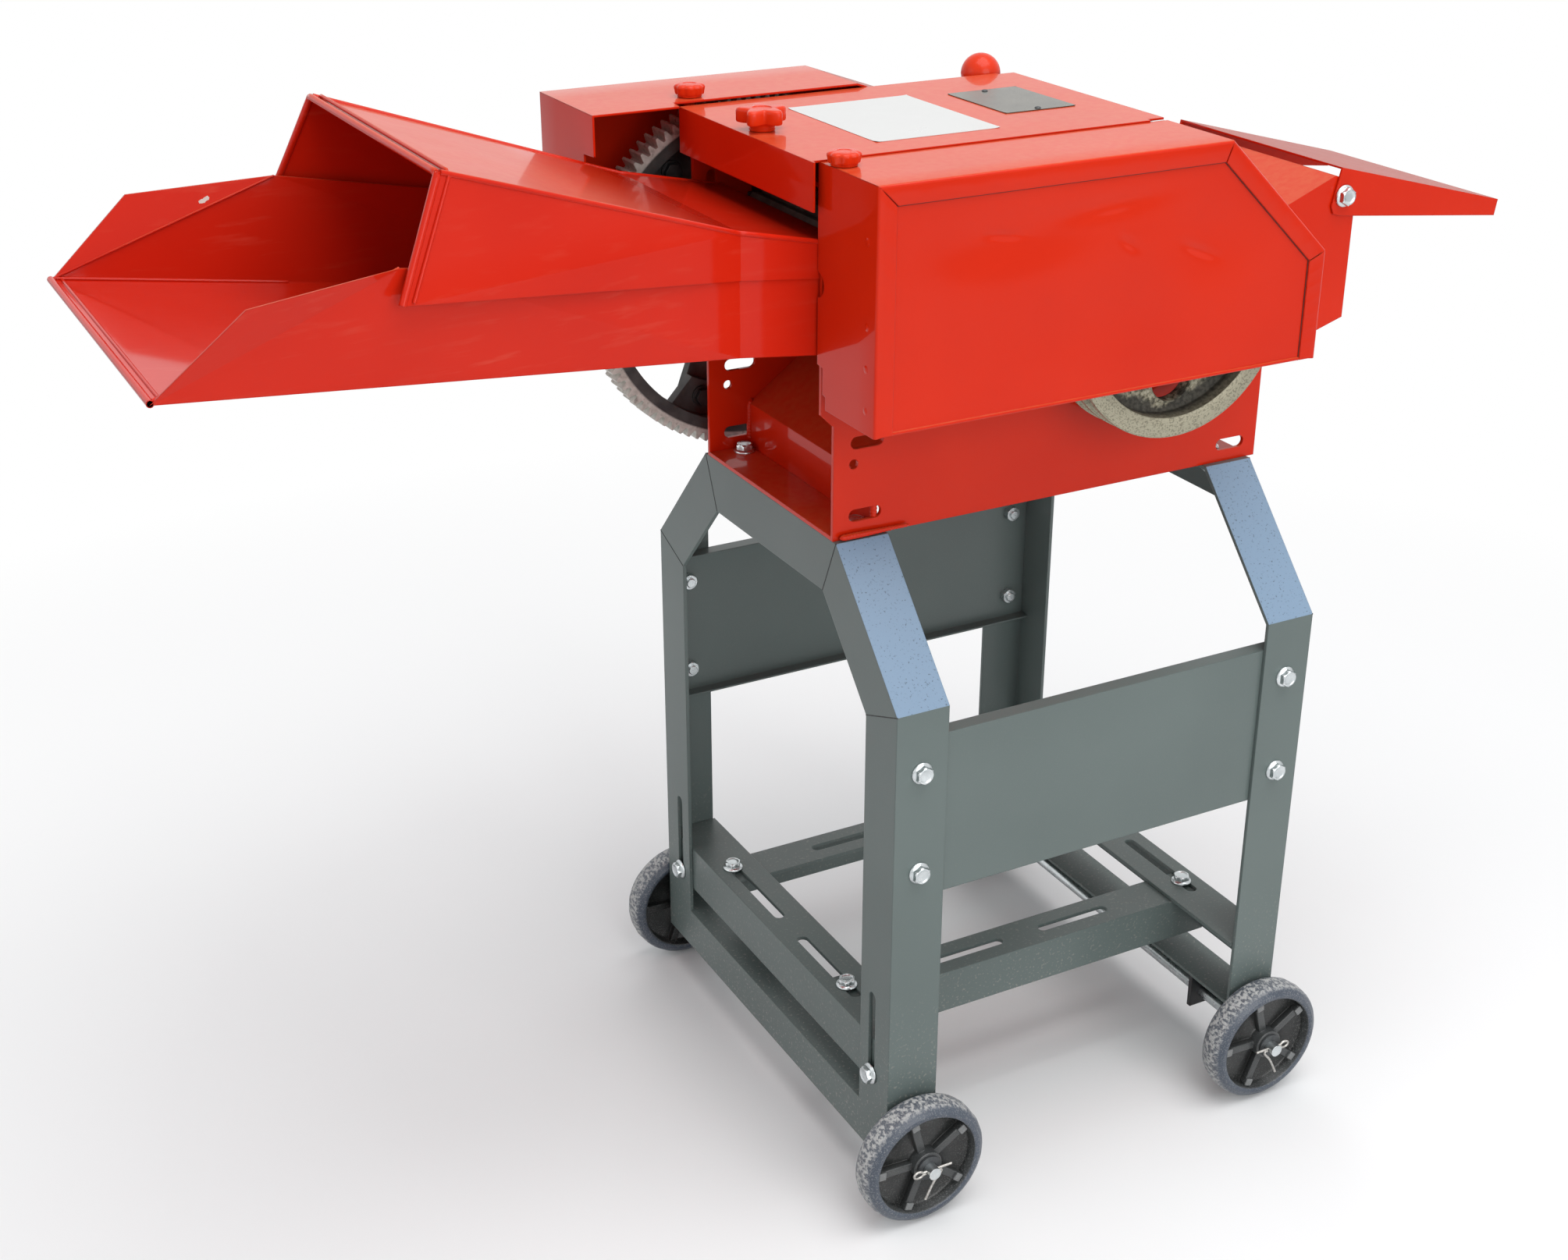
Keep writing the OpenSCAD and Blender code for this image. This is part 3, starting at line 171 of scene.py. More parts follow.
GREY = ((0.35, (0.108, 0.136, 0.130)), (0.65, (0.121, 0.152, 0.145)))
DUST = (0.30, 0.29, 0.26)
# The pale blue and its darker pits are a painted sky reflection for the upward slopes.
PAINTED_SKY_BLUE, PIT = (0.200, 0.290, 0.400), (0.075, 0.105, 0.135)
grey_paint, tree, shader = new_finish("grey_paint")
low_down = spread(tree, along(tree, 2), 0.75, 0.0, 0.05, 0.20)
specks = spread(tree, grain(tree, 1400.0, 2.0), 0.0, 1.0, 0.60, 0.70)
dusty = sums(tree, "MULTIPLY", low_down, spread(tree, grain(tree, 420.0, 6.0), 0.0, 1.0, 0.59, 0.66))
dusty = sums(tree, "MAXIMUM", dusty, sums(tree, "MULTIPLY", specks, 0.10))
upward = facing_up(tree)
# Share of painted sky reflection: faces sloping upwards, neither level tops nor upright walls.
sky_reflection_share = sums(tree, "MULTIPLY", spread(tree, upward, 0.0, 1.0, 0.45, 0.58),
              spread(tree, upward, 1.0, 0.0, 0.80, 0.92))
pits = spread(tree, grain(tree, 620.0, 2.0), 0.0, 0.75, 0.62, 0.70)
grey_with_painted_reflection = blend_colours(tree, sky_reflection_share, shade(tree, grain(tree, 6.0), GREY), blend_colours(tree, pits, PAINTED_SKY_BLUE, PIT))
feed(tree, blend_colours(tree, dusty, grey_with_painted_reflection, DUST), shader.inputs["Base Color"])
feed(tree, spread(tree, grain(tree, 14.0, 2.0), 0.30, 0.38), shader.inputs["Roughness"])
shader.inputs["Specular IOR Level"].default_value = 0.35
relief(tree, shader, ((grain(tree, 1500.0), 0.10, 0.0003), (grain(tree, 10.0, 1.0), 0.05, 0.004)), 0.0012)
dress(grey_paint, "feed_end_frame", "discharge_end_frame", "side_panels", "feed_end_motor_bar",
      "discharge_end_motor_bar", "front_motor_rail", "rear_motor_rail")

# Mitre seams of the end frames
# The angle iron is notched and folded at each knee and top corner, and the closed notch shows
# as a fine dark line under the paint.


def at(points):
    """Millimetres from the stand's feed end, as on the drawing, to metres from the machine's middle."""
    return (np.asarray(points, float) - (67.0, 0.0, 0.0)) * 0.001


def skin(points, round_rows=False, round_columns=False):
    """Grid of points with a face from each point to the next along the row and to the next row."""
    points = np.asarray(points, float)
    rows, columns = points.shape[:2]
    i, j = np.meshgrid(np.arange(rows - (not round_rows)), np.arange(columns - (not round_columns)), indexing="ij")
    below, right = (i + 1) % rows, (j + 1) % columns
    faces = np.stack([i * columns + j, below * columns + j, below * columns + right, i * columns + right], -1)
    return points.reshape(-1, 3), faces.reshape(-1, 4)


def over_rings(rings):
    """Closed skin over rings of points, the first and the last ring drawn together to their middles."""
    rings = np.asarray(rings, float)
    ends = rings[[0, -1]].mean(axis=1, keepdims=True) + 0 * rings[[0, -1]]
    return skin(np.concatenate([ends[:1], rings, ends[1:]]), False, True)


def rod_along(path, radius, sides, swell=1.0):
    """Round bar along a path: at each point a circle across the path's direction, its radius times swell."""
    path = np.asarray(path, float)
    way = np.gradient(path, axis=0)
    way /= np.linalg.norm(way, axis=1, keepdims=True)
    spare = np.eye(3)[np.argmin(np.abs(way).max(axis=0))]
    side = np.cross(way, spare)
    side /= np.linalg.norm(side, axis=1, keepdims=True)
    up = np.cross(way, side)
    turn = np.linspace(0, 2 * np.pi, sides, endpoint=False)[None, :, None]
    size = (radius * swell * np.ones(len(path)))[:, None, None]
    return over_rings(path[:, None] + size * (np.cos(turn) * side[:, None] + np.sin(turn) * up[:, None]))


def straight(start, end, count):
    """Evenly spaced points from start to end."""
    return np.linspace(np.asarray(start, float), np.asarray(end, float), count)


def rounded(points, rounds=3):
    """Path with its corners cut three times at a quarter and three quarters, so that they turn smoothly."""
    path = np.asarray(points, float)
    for _ in range(rounds):
        cut = np.stack([0.75 * path[:-1] + 0.25 * path[1:], 0.25 * path[:-1] + 0.75 * path[1:]], 1).reshape(-1, 3)
        path = np.concatenate([path[:1], cut, path[-1:]])
    return path


def piece(name, skins, finish, body, slot, *stands_for, corner=38.0):
    """Joins skins to one mesh, welds equal points, turns faces outwards and ties the piece to a body."""
    starts = np.cumsum([0] + [len(points) for points, _ in skins[:-1]])
    points = np.concatenate([points for points, _ in skins])
    faces = np.concatenate([faces + start for (_, faces), start in zip(skins, starts)])
    mesh = bpy.data.meshes.new(name)
    mesh.from_pydata(points.tolist(), [], faces.tolist())
    work = bmesh.new()
    work.from_mesh(mesh)
    bmesh.ops.remove_doubles(work, verts=work.verts, dist=2e-6)
    bmesh.ops.recalc_face_normals(work, faces=work.faces)
    work.to_mesh(mesh)
    work.free()
    mesh.polygons.foreach_set("use_smooth", np.ones(len(mesh.polygons), bool))
    mesh.set_sharp_from_angle(angle=math.radians(corner))
    mesh.materials.append(finish)
    made = bpy.data.objects.new(name, mesh)
    bpy.context.scene.collection.objects.link(made)
    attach(made, body)
    if stands_for:
        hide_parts(*stands_for)
    return made


def plain_finish(name, cloud, stops, metal, rough, bumps, edge=0.0, shine=0.5):
    """Finish of two colours over a cloud of grain, its roughness fixed or clouded too, with layers of bumps.

    Cloud, a clouded rough and each bump start with what grain takes: cells per metre, detail, stretch.
    """
    finish, tree, shader = new_finish(name)
    feed(tree, shade(tree, grain(tree, *cloud), stops), shader.inputs["Base Color"])
    shader.inputs["Metallic"].default_value = metal
    shader.inputs["Specular IOR Level"].default_value = shine
    if isinstance(rough, tuple):
        *cells, smooth, coarse = rough
        rough = spread(tree, grain(tree, *cells), smooth, coarse)
    feed(tree, rough, shader.inputs["Roughness"])
    relief(tree, shader, [(grain(tree, *cells), strength, distance) for *cells, strength, distance in bumps], edge)
    return finish


SEAM_ENDS = (((190, 421), (148, 404.7)), ((102.5, 517), (83.9, 475)))
dark_seam = plain_finish("dark_seam", (300.0,), ((0.3, (0.010, 0.011, 0.011)), (0.7, (0.030, 0.034, 0.033))),
                         0.0, 0.6, ((900.0, 0.2, 0.0003),))
piece("mitre_seams", [rod_along(straight(at((x, side * a, b)), at((x, side * c, d)), 12), 0.00055, 6)
                      for (a, b), (c, d) in SEAM_ENDS for side in (-1, 1) for x in (0.25, 362.75)],
      dark_seam, "machine", "grey_paint")

# Flange bolts of the stand, the motor bars and the rails
# Cold-headed M8 bolts with a hexagon, a washer flange and a plain nut behind, bright zinc plated.
# The head's corners are chamfered and its top is slightly dished.
BOLT = np.array([(2.6, 5.6, 0), (4.4, 5.7, 0), (5.0, 6.15, 0), (5.9, 6.1, 0), (6.9, 5.45, 1), (6.95, 2.3, 1),
                 (7.5, 1.75, 0), (8.1, 1.3, 0), (8.4, 0.7, 0), (8.35, 0.05, 0), (4.0, 0.05, 0)])
NUT = np.array([(4.0, 0, 0), (6.2, 0, 0), (6.95, -0.6, 1), (6.95, -5.8, 1), (6.2, -6.4, 0), (4.0, -6.4, 0),
                (3.95, -8.3, 0), (3.4, -8.8, 0)])


def flange_bolt(place, out, grip):
    """Turned rings from head to tip along out: a hexagon's radius is its flat over cos(angle from the flat)."""
    out = np.array(out, float)
    side = np.roll(out, 1)
    radius, height, share = np.concatenate([BOLT, NUT + (0, -grip, 0)]).T[:, :, None]
    turn = np.linspace(0, 2 * np.pi, 48, endpoint=False)
    flat = np.cos(np.pi / 6) / np.cos(np.mod(turn, np.pi / 3) - np.pi / 6)
    radius = (radius * (1 + share * (flat - 1)))[:, :, None]
    across = np.cos(turn)[:, None] * side + np.sin(turn)[:, None] * np.cross(out, side)
    return over_rings(at(np.array(place) + radius * across + height[:, :, None] * out))


zinc_steel = plain_finish("zinc_steel", (90.0,), ((0.3, (0.50, 0.535, 0.545)), (0.7, (0.68, 0.72, 0.73))),
                          1.0, (220.0, 0.20, 0.38), ((700.0, 0.12, 0.0003),), 0.0004)
dress(zinc_steel, "axles", "cover_hinge_pin", "blade_bolts", "shaft_nut")
piece("panel_bolt_set", [flange_bolt((x, side * 190, z), (0, side, 0), 4.5)
                         for x in (21, 342) for side in (-1, 1) for z in (292.8, 373.4)],
      zinc_steel, "machine", "zinc_steel", "panel_bolts")
piece("motor_bar_bolt_set", [flange_bolt((x, side * 165, 109.7), (way, 0, 0), 6.6)
                             for x, way in ((-0.3, -1), (363.3, 1)) for side in (-1, 1)],
      zinc_steel, "motor_cradle", "zinc_steel", "motor_bar_bolts")
for rail, y in (("front_rail", -92), ("rear_rail", 104)):
    piece(rail + "_bolt_set", [flange_bolt((x, y, 138.3), (0, 0, 1), 6.6) for x in (20, 343)],
          zinc_steel, rail, "zinc_steel", rail + "_bolts")

# The four wheels
# Moulded in dark grey plastic: a crowned tread with rounded shoulders, a lip, a dished web and five
# ribs that end in a square post at the rim. Dried soil clings to the treads.
WHEEL = np.array([(5.3, 1.2), (6.2, 0.1), (11.2, 0.1), (12.0, 0.7), (12.4, 9.4), (13.4, 10.5), (27.0, 10.6),
                  (40.0, 10.5), (41.2, 9.3), (41.6, 1.6), (42.2, 0.8), (43.4, 0.5), (45.6, 0.5), (46.4, 0.9),
                  (46.9, 1.5), (48.4, 2.1), (49.9, 3.4), (51.0, 5.2), (51.7, 8.0), (51.95, 12.75)])
WHEEL = np.concatenate([WHEEL, (WHEEL * (1, -1) + (0, 25.5))[-2::-1]])
RIBS = 33 + 72 * np.arange(5)
AXLE_X, AXLE_Z, INNER_FACE = (20, 343), 52.0, 192.5


def soft_block(middle, half, first, second, edge=0.22):
    """Block with rounded edges: on a sphere's angles, each cosine and sine raised to a small power."""
    fair = lambda value: np.sign(value) * np.abs(value) ** edge
    turn = np.linspace(-np.pi, np.pi, 40, endpoint=False)[None, :, None]
    tilt = np.linspace(-np.pi / 2, np.pi / 2, 15)[:, None, None]
    return skin(np.array(middle) + half[0] * fair(np.cos(tilt)) * fair(np.cos(turn)) * first
                + half[1] * fair(np.cos(tilt)) * fair(np.sin(turn)) * second
                + half[2] * fair(np.sin(tilt)) * np.cross(first, second), False, True)


def wheel(x, side):
    """Closed profile turned about the axle, the tread waved a few tenths, with ribs on both sides and outer posts."""
    turn = np.linspace(0, 2 * np.pi, 128, endpoint=False)
    radius, depth = WHEEL.T[:, :, None]
    tread = np.clip((radius - 48) / 4, 0, 1)
    lumps = 0.22 * np.sin(9 * turn + depth) + 0.14 * np.sin(23 * turn - 2 * depth)
    radius = radius + tread * lumps - tread * 0.3
    rings = np.stack([x + radius * np.cos(turn), side * (INNER_FACE + depth + 0 * turn),
                      AXLE_Z + radius * np.sin(turn)], -1)
    skins = [skin(at(rings), True, True)]
    hub = np.array([x, side * INNER_FACE, AXLE_Z])
    for angle in np.radians(RIBS):
        way = np.array([np.cos(angle), 0, np.sin(angle)])
        across = np.array([-np.sin(angle), 0, np.cos(angle)])
        skins += [soft_block(at(hub + 26 * way + (0, side * y, 0)), (0.0155, 0.0033, 0.0034), way, across)
                  for y in (8.2, 17.3)]
        skins += [soft_block(at(hub + 37.6 * way + (0, side * 17.6, 0)), (0.0033, 0.0034, 0.0050), way, across)]
    return skins


def away_from(tree, place, axes=(1, 0, 1)):
    """Distance from a place, each axis times its factor: without Y, the distance from a line along Y."""
    off, drawn, length = (tree.nodes.new("ShaderNodeVectorMath") for _ in range(3))
    off.operation, drawn.operation, length.operation = "SUBTRACT", "MULTIPLY", "LENGTH"
    tree.links.new(place_on(tree), off.inputs[0])
    off.inputs[1].default_value = place
    tree.links.new(off.outputs["Vector"], drawn.inputs[0])
    drawn.inputs[1].default_value = axes
    tree.links.new(drawn.outputs["Vector"], length.inputs[0])
    return length.outputs["Value"]


wheel_plastic, tree, shader = new_finish("wheel_plastic")
from_axle = sums(tree, "MINIMUM", *(away_from(tree, at((x, 0, AXLE_Z))) for x in AXLE_X))
crusty = sums(tree, "MULTIPLY", spread(tree, from_axle, 0.0, 1.0, 0.0490, 0.0512),
              spread(tree, grain(tree, 400.0, 8.0, (1, 0.7, 1)), 0.10, 1.0, 0.44, 0.57))
faint = sums(tree, "MULTIPLY", spread(tree, grain(tree, 900.0, 5.0), 0.0, 0.35, 0.52, 0.72),
             spread(tree, from_axle, 0.25, 1.0, 0.030, 0.048))
soil = sums(tree, "MINIMUM", sums(tree, "ADD", sums(tree, "MULTIPLY", crusty, 0.85), faint), 1.0)
outward = sums(tree, "ABSOLUTE", along(tree, 1), 0.0)
proud = sums(tree, "MAXIMUM", spread(tree, outward, 0.0, 1.0, 0.2078, 0.2130),
             spread(tree, from_axle, 0.0, 1.0, 0.0420, 0.0436))
# Painted light on the wheels: the dished web is painted darker as shade, the ribs lighter as a painted highlight and
# the shoulders blue-grey as a painted sky reflection.
deep = shade(tree, grain(tree, 60.0), ((0.3, (0.009, 0.010, 0.010)), (0.7, (0.016, 0.017, 0.016))))
rib_painted_highlight = shade(tree, grain(tree, 30.0), ((0.3, (0.034, 0.037, 0.038)), (0.7, (0.052, 0.055, 0.055))))
shoulder = shade(tree, grain(tree, 30.0), ((0.3, (0.046, 0.058, 0.080)), (0.7, (0.062, 0.077, 0.102))))
raised_painted_light = blend_colours(tree, spread(tree, from_axle, 0.0, 1.0, 0.0416, 0.0424), rib_painted_highlight, shoulder)
# Painted highlight: the outer ends of the rim posts are painted a lighter grey.
post_highlight_share = sums(tree, "MULTIPLY", spread(tree, outward, 0.0, 1.0, 0.2136, 0.2146),
            sums(tree, "MULTIPLY", spread(tree, from_axle, 0.0, 1.0, 0.0330, 0.0340),
                 spread(tree, from_axle, 1.0, 0.0, 0.0411, 0.0414)))
raised_painted_light = blend_colours(tree, post_highlight_share, raised_painted_light, (0.16, 0.165, 0.165))
plastic_with_painted_light = blend_colours(tree, proud, deep, raised_painted_light)
feed(tree, blend_colours(tree, soil, plastic_with_painted_light, (0.48, 0.48, 0.47)), shader.inputs["Base Color"])
feed(tree, spread(tree, soil, 0.30, 0.85), shader.inputs["Roughness"])
relief(tree, shader, ((soil, 0.5, 0.0006), (grain(tree, 1200.0), 0.15, 0.0003)), 0.0006)
for end, x in zip(("feed", "discharge"), AXLE_X):
    for hand, side in (("front", -1), ("rear", 1)):
        name = hand + "_" + end + "_wheel"
        piece(name + "_moulding", wheel(x, side), wheel_plastic, name, "wheel_plastic", name, corner=50.0)

# Wheel washers
# Stamped discs of dull dark steel on both sides of each hub.
dull_steel = plain_finish("dull_steel", (150.0, 4.0), ((0.3, (0.045, 0.049, 0.052)), (0.7, (0.095, 0.100, 0.104))),
                          0.5, (300.0, 0.38, 0.55), ((900.0, 0.2, 0.0003),), 0.0004)
dress(dull_steel, "wheel_washers")

# Cotter pins at the axle ends
# Half-round wire doubled to an eye and pushed across the axle, one leg bent back to hold it.
bent_wire = plain_finish("bent_wire", (500.0,), ((0.35, (0.34, 0.33, 0.31)), (0.7, (0.62, 0.60, 0.57))),
                         1.0, 0.42, ((1500.0, 0.25, 0.0002),))
turn = np.linspace(0.30, 2 * np.pi - 0.30, 20) + np.pi
EYE = np.stack([-11.6 - 3.8 * np.cos(turn), 0 * turn, 2.7 * np.sin(turn)], -1)
LEGS = np.concatenate([rounded(((17, 0, 0.75), (0, 0, 0.75), (-8, 0, 0.8))), EYE[::-1],
                       rounded(((-8, 0, -0.8), (4, 0, -0.8), (9.0, 0, -1.2), (7, 0, -5), (2, 0, -10), (-5, 0, -25)))])
piece("cotter_wire", [rod_along(at(LEGS * (way, 1, 1) + (x, side * 223, AXLE_Z)), 0.00108, 8)
                      for x, way in zip(AXLE_X, (1, -1)) for side in (-1, 1)],
      bent_wire, "machine", "zinc_steel", "cotter_pins", corner=80.0)

# Axle tabs
# Short plates welded under the lower beams, brushed black by hand.
black_paint = plain_finish("black_paint", (80.0,), ((0.3, (0.012, 0.012, 0.013)), (0.7, (0.03, 0.03, 0.032))),
                           0.0, (60.0, 3.0, (1, 1, 6), 0.34, 0.52), ((300.0, 3.0, (1, 1, 8), 0.25, 0.0004),), 0.001)
dress(black_paint, "axle_tabs")

# Body: side plates, sills, casing, lugs, trough, hood, cover, guards and chute
# Folded sheet, welded and sprayed gloss red: a deep coat with a faint orange peel, on panels that the
# welds have pulled a little wavy. The tops are tinted tan, partly by fine dust and partly as a painted warm
# reflection.


def gloss_red(name, dark, light, haze, dulled, settled=None):
    """Red enamel: two close reds, a low sheen below and a clear coat above, dulled and tinted tan on the tops by fine
    dust and a painted warm reflection.
    """
    finish, tree, shader = new_finish(name)
    colour = shade(tree, grain(tree, 9.0, 2.0), ((0.3, dark), (0.7, light)))
    top = spread(tree, facing_up(tree), 0.0, 1.0, 0.65, 0.93)
    if settled:
        top = sums(tree, "MULTIPLY", top, settled(tree))
    # The tan on the tops is partly fine dust and partly a painted warm reflection.
    dust_and_warm_sheen = sums(tree, "MULTIPLY", top, spread(tree, grain(tree, 170.0, 8.0), 0.09, 0.15, 0.35, 0.65))
    colour = blend_colours(tree, dust_and_warm_sheen, colour, (0.64, 0.40, 0.16))
    shader.inputs["Specular IOR Level"].default_value = 0.04
    feed(tree, spread(tree, top, 1.0, dulled), shader.inputs["Coat Weight"])
    shader.inputs["Coat IOR"].default_value = 1.24
    feed(tree, spread(tree, grain(tree, 20.0, 3.0), 0.30, 0.40), shader.inputs["Roughness"])
    shader.inputs["Coat Roughness"].default_value = haze
    feed(tree, colour, shader.inputs["Base Color"])
    layers = ((grain(tree, 380.0, 1.0), 0.03, 0.0004), (grain(tree, 7.0, 1.0), 0.05, 0.006))
    relief(tree, shader, layers, 0.0014)
    return finish, tree, shader, colour


red_paint, *_ = gloss_red("red_paint", (0.560, 0.0170, 0.0022), (0.600, 0.0205, 0.0030), 0.05, 0.62)
dress(red_paint, "front_side_plate", "rear_side_plate", "sills", "casing_sheet", "rotor_casing", "lugs",
      "top_cover", "discharge_chute", "deflector", "clutch_pivot", "clutch_lever")

# Bolts of the body, the trough and the deflector
# The same flange bolts: four through the sills, three under the bed knife, four at the trough's
# root and one at each of the deflector's ears.
piece("body_bolt_set", [flange_bolt((x, side * 85.5, 520), (0, 0, 1), 6) for x in (25, 338) for side in (-1, 1)]
      + [flange_bolt((121.91, y, 660), (0, 0, -1), 8.5) for y in (-60, 0, 60)],
      zinc_steel, "machine", "zinc_steel", "body_bolts")
piece("shell_bolt_set", [flange_bolt((4, side * 98, z), (0, side, 0), 6.3) for side in (-1, 1) for z in (668, 700)]
      + [flange_bolt((433.6, side * 97.1, 710), (0, side, 0), 3.6) for side in (-1, 1)],
      zinc_steel, "machine", "zinc_steel", "shell_bolts")

# Weld beads of the body
# Hand-laid runs where the casing sheet and sills meet the side plates, rippled, lumpy and
# sprayed over with the red.


def weld_run(points, radius, seed):
    """Bead along a path: the radius rises and falls at each ripple, 2.6 mm apart, and wanders slowly."""
    corners = np.asarray(points, float)
    steps = np.linalg.norm(np.diff(corners, axis=0), axis=1)
    way = np.concatenate([[0], np.cumsum(steps)])
    here = np.arange(0, way[-1], 0.65)
    path = np.stack([np.interp(here, way, corners[:, k]) for k in range(3)], 1)
    lively = np.random.default_rng(seed).normal(size=(2, 4))
    slow = sum(high * np.sin(here / (9 + 7 * k) + 6 * late) for k, (high, late) in enumerate(lively.T))
    swell = 1 + 0.20 * np.abs(np.sin(np.pi * here / 2.6)) + 0.09 * slow
    ends = np.clip(np.minimum(here, way[-1] - here) / 2.5, 0.15, 1) ** 0.5
    return rod_along(at(path), radius * 0.001, 10, swell * ends)


welds = []
for side in (-1, 1):
    welds += [weld_run(((34.2, side * 94.6, 523), (34.2, side * 94.6, 552), (36, side * 94.6, 558)), 2.0, 3 + side),
              weld_run(((4, side * 101.0, 519.8), (60, side * 101.0, 519.8)), 1.5, 7 + side)]
piece("weld_runs", welds, red_paint, "machine", "red_paint", corner=70.0)

# Feed trough and hood
# Two folded sheets that flare to the mouth: the hood's edges are rolled to a double hem and its side
# seams are closed with a thin bead; the trough's floor is rubbed and hazed by straw.


def floor_of(x):
    """Height of the trough's floor: it rises 0.1155 for each millimetre towards the mouth."""
    return 652.0 - (x + 7.5) * 0.1155


def edge_of(x):
    """Half width of the trough outside its walls, flaring from X -68 to the lip at -458."""
    return 93.2 + max(0.0, -x - 68.0) / 390.0 * 47.3


def on_hood(tree):
    """Share of the tan top tint, dust and painted warm reflection: full on the hood's top towards the mouth, none on
    the trough's floor or at the root.
    """
    return sums(tree, "MULTIPLY", spread(tree, along(tree, 0), 1.0, 0.0, -0.235, -0.145),
                spread(tree, along(tree, 2), 0.0, 1.0, 0.716, 0.726))


trough_paint, tree, shader, colour = gloss_red("trough_paint", (0.530, 0.0140, 0.0035), (0.570, 0.0170, 0.0045),
                                               0.07, 0.32, on_hood)
wear_and_painted_light = sums(tree, "MULTIPLY", spread(tree, grain(tree, 160.0, 5.0, (0.10, 1, 1)), 0.0, 0.30, 0.56, 0.74),
              spread(tree, grain(tree, 12.0, 3.0), 0.2, 1.0, 0.4, 0.65))
worn = blend_colours(tree, wear_and_painted_light, colour, (0.62, 0.10, 0.06))
CHIP = (-351.5, 134.6, 747.8)
ragged = sums(tree, "ADD", away_from(tree, at(CHIP), (1, 6, 1)),
              spread(tree, grain(tree, 300.0, 3.0), -0.0026, 0.0026, 0.3, 0.7))
chipped = spread(tree, ragged, 1.0, 0.0, 0.0046, 0.0050)
feed(tree, blend_colours(tree, chipped, worn, (0.60, 0.52, 0.47)), shader.inputs["Base Color"])
dress(trough_paint, "feed_trough", "feed_hood")


def round_mouth(foot, shoulder, crown):
    """Path up one side of the hood's mouth, across its top and down the other side, which mirrors the first."""
    mirror = np.array((1, -1, 1))
    return np.concatenate([straight(foot, shoulder, 30), straight(crown, crown * mirror, 60),
                           straight(shoulder * mirror, foot * mirror, 30)])


HOOD_FOOT, LIP = -305, -458
low = np.array((-308, edge_of(HOOD_FOOT) + 18, floor_of(HOOD_FOOT) + 53))
high = np.array((-277, edge_of(-277) + 6.5, 811))
bend = np.array((-68, 94.8, floor_of(-68) + 84))
root = np.array((14, 94.8, floor_of(14) + 76))
mouth = round_mouth(low + (0, -1, 0), high + (0, -1, -3), high + (0, -3, -1))
hem_back = round_mouth(low + (7, -0.6, 1), high + (7, -0.6, -4), high + (7, -4, -0.6))
beads = [rod_along(at(mouth), 0.0024, 12), rod_along(at(hem_back), 0.0013, 8)]
for side in (1, -1):
    run = np.concatenate([straight(high + (2, -0.8, -0.8), bend + (0, -0.8, -0.8), 60),
                          straight(bend + (0.5, -0.8, -0.8), root + (-1, -0.8, -0.8), 20)]) * (1, side, 1)
    beads.append(rod_along(at(run), 0.0018, 12))
lip_y, lip_z = edge_of(LIP), floor_of(LIP)
beads += [rod_along(at(straight((-456, lip_y, lip_z + 1), (-456, -lip_y, lip_z + 1), 60)), 0.0024, 12),
          rod_along(at(straight((-449.5, lip_y - 1, lip_z + 0.9), (-449.5, 1 - lip_y, lip_z + 0.9), 60)), 0.0012, 8)]
for side in (1, -1):
    foot = np.array((HOOD_FOOT, side * (edge_of(HOOD_FOOT) - 2.0), floor_of(HOOD_FOOT) + 2.0))
    crest = np.array((HOOD_FOOT, side * (edge_of(HOOD_FOOT) + 7.2), floor_of(HOOD_FOOT) + 73))
    corner_at = np.array((-454.5, side * (lip_y - 2.2), lip_z + 2.2))
    beads += [rod_along(at(straight(corner_at, foot, 50)), 0.0012, 8),
              rod_along(at(straight(corner_at, crest, 50)), 0.0008, 8)]
piece("rolled_hems", beads, trough_paint, "machine", "red_paint", corner=60.0)

# Label and nameplate on the cover
# A blank white vinyl sheet stuck on the cover's top and a blank dark plate on two pins beyond it.
COVER_TOP = 783.85


def sheet_between(front, back):
    """Closed sheet between two grids of one size: both faces and the four edges."""
    return [skin(front), skin(back)] + [skin(np.stack([front[cut], back[cut]]))
                                        for cut in (np.s_[0], np.s_[-1], np.s_[:, 0], np.s_[:, -1])]


def plate_on_cover(low, high, thick, curl):
    """Flat sheet on the cover: its corners are drawn in to a small round, and lifted by curl."""
    u, v = np.meshgrid(np.linspace(-1, 1, 41), np.linspace(-1, 1, 41), indexing="ij")
    near = (np.abs(u) * np.abs(v)) ** 24
    half, middle = (np.array(high) - low) / 2, (np.array(high) + low) / 2
    x, y = middle[0] + half[0] * u * (1 - 0.012 * near), middle[1] + half[1] * v * (1 - 0.012 * near)
    bottom = np.stack([x, y, COVER_TOP + curl * near], -1)
    return sheet_between(at(bottom), at(bottom + (0, 0, thick)))


vinyl, tree, shader = new_finish("vinyl")
shader.inputs["Base Color"].default_value = (0.57, 0.57, 0.56, 1)
feed(tree, spread(tree, grain(tree, 50.0, 3.0), 0.24, 0.36), shader.inputs["Roughness"])
relief(tree, shader, ((grain(tree, 30.0, 1.0), 0.05, 0.0006),))
piece("blank_label", plate_on_cover((46, -69.5), (144.5, 56), 0.25, 0.5), vinyl, "top_cover", "grey_paint")
dark_plate = plain_finish("dark_plate", (40.0, 4.0), ((0.3, (0.100, 0.094, 0.070)), (0.7, (0.150, 0.140, 0.105))),
                          1.0, (200.0, 3.0, (1, 10, 1), 0.14, 0.24), ((500.0, 2.0, (1, 12, 1), 0.1, 0.0003),))
piece("blank_nameplate", plate_on_cover((172.5, -33), (231.8, 45), 0.6, 0.2), dark_plate,
      "top_cover", "black_paint")
pins = np.array([(2.4, 0.55), (2.3, 0.9), (1.7, 1.4), (0.9, 1.65), (0.3, 1.7)])
turn = np.linspace(0, 2 * np.pi, 24, endpoint=False)
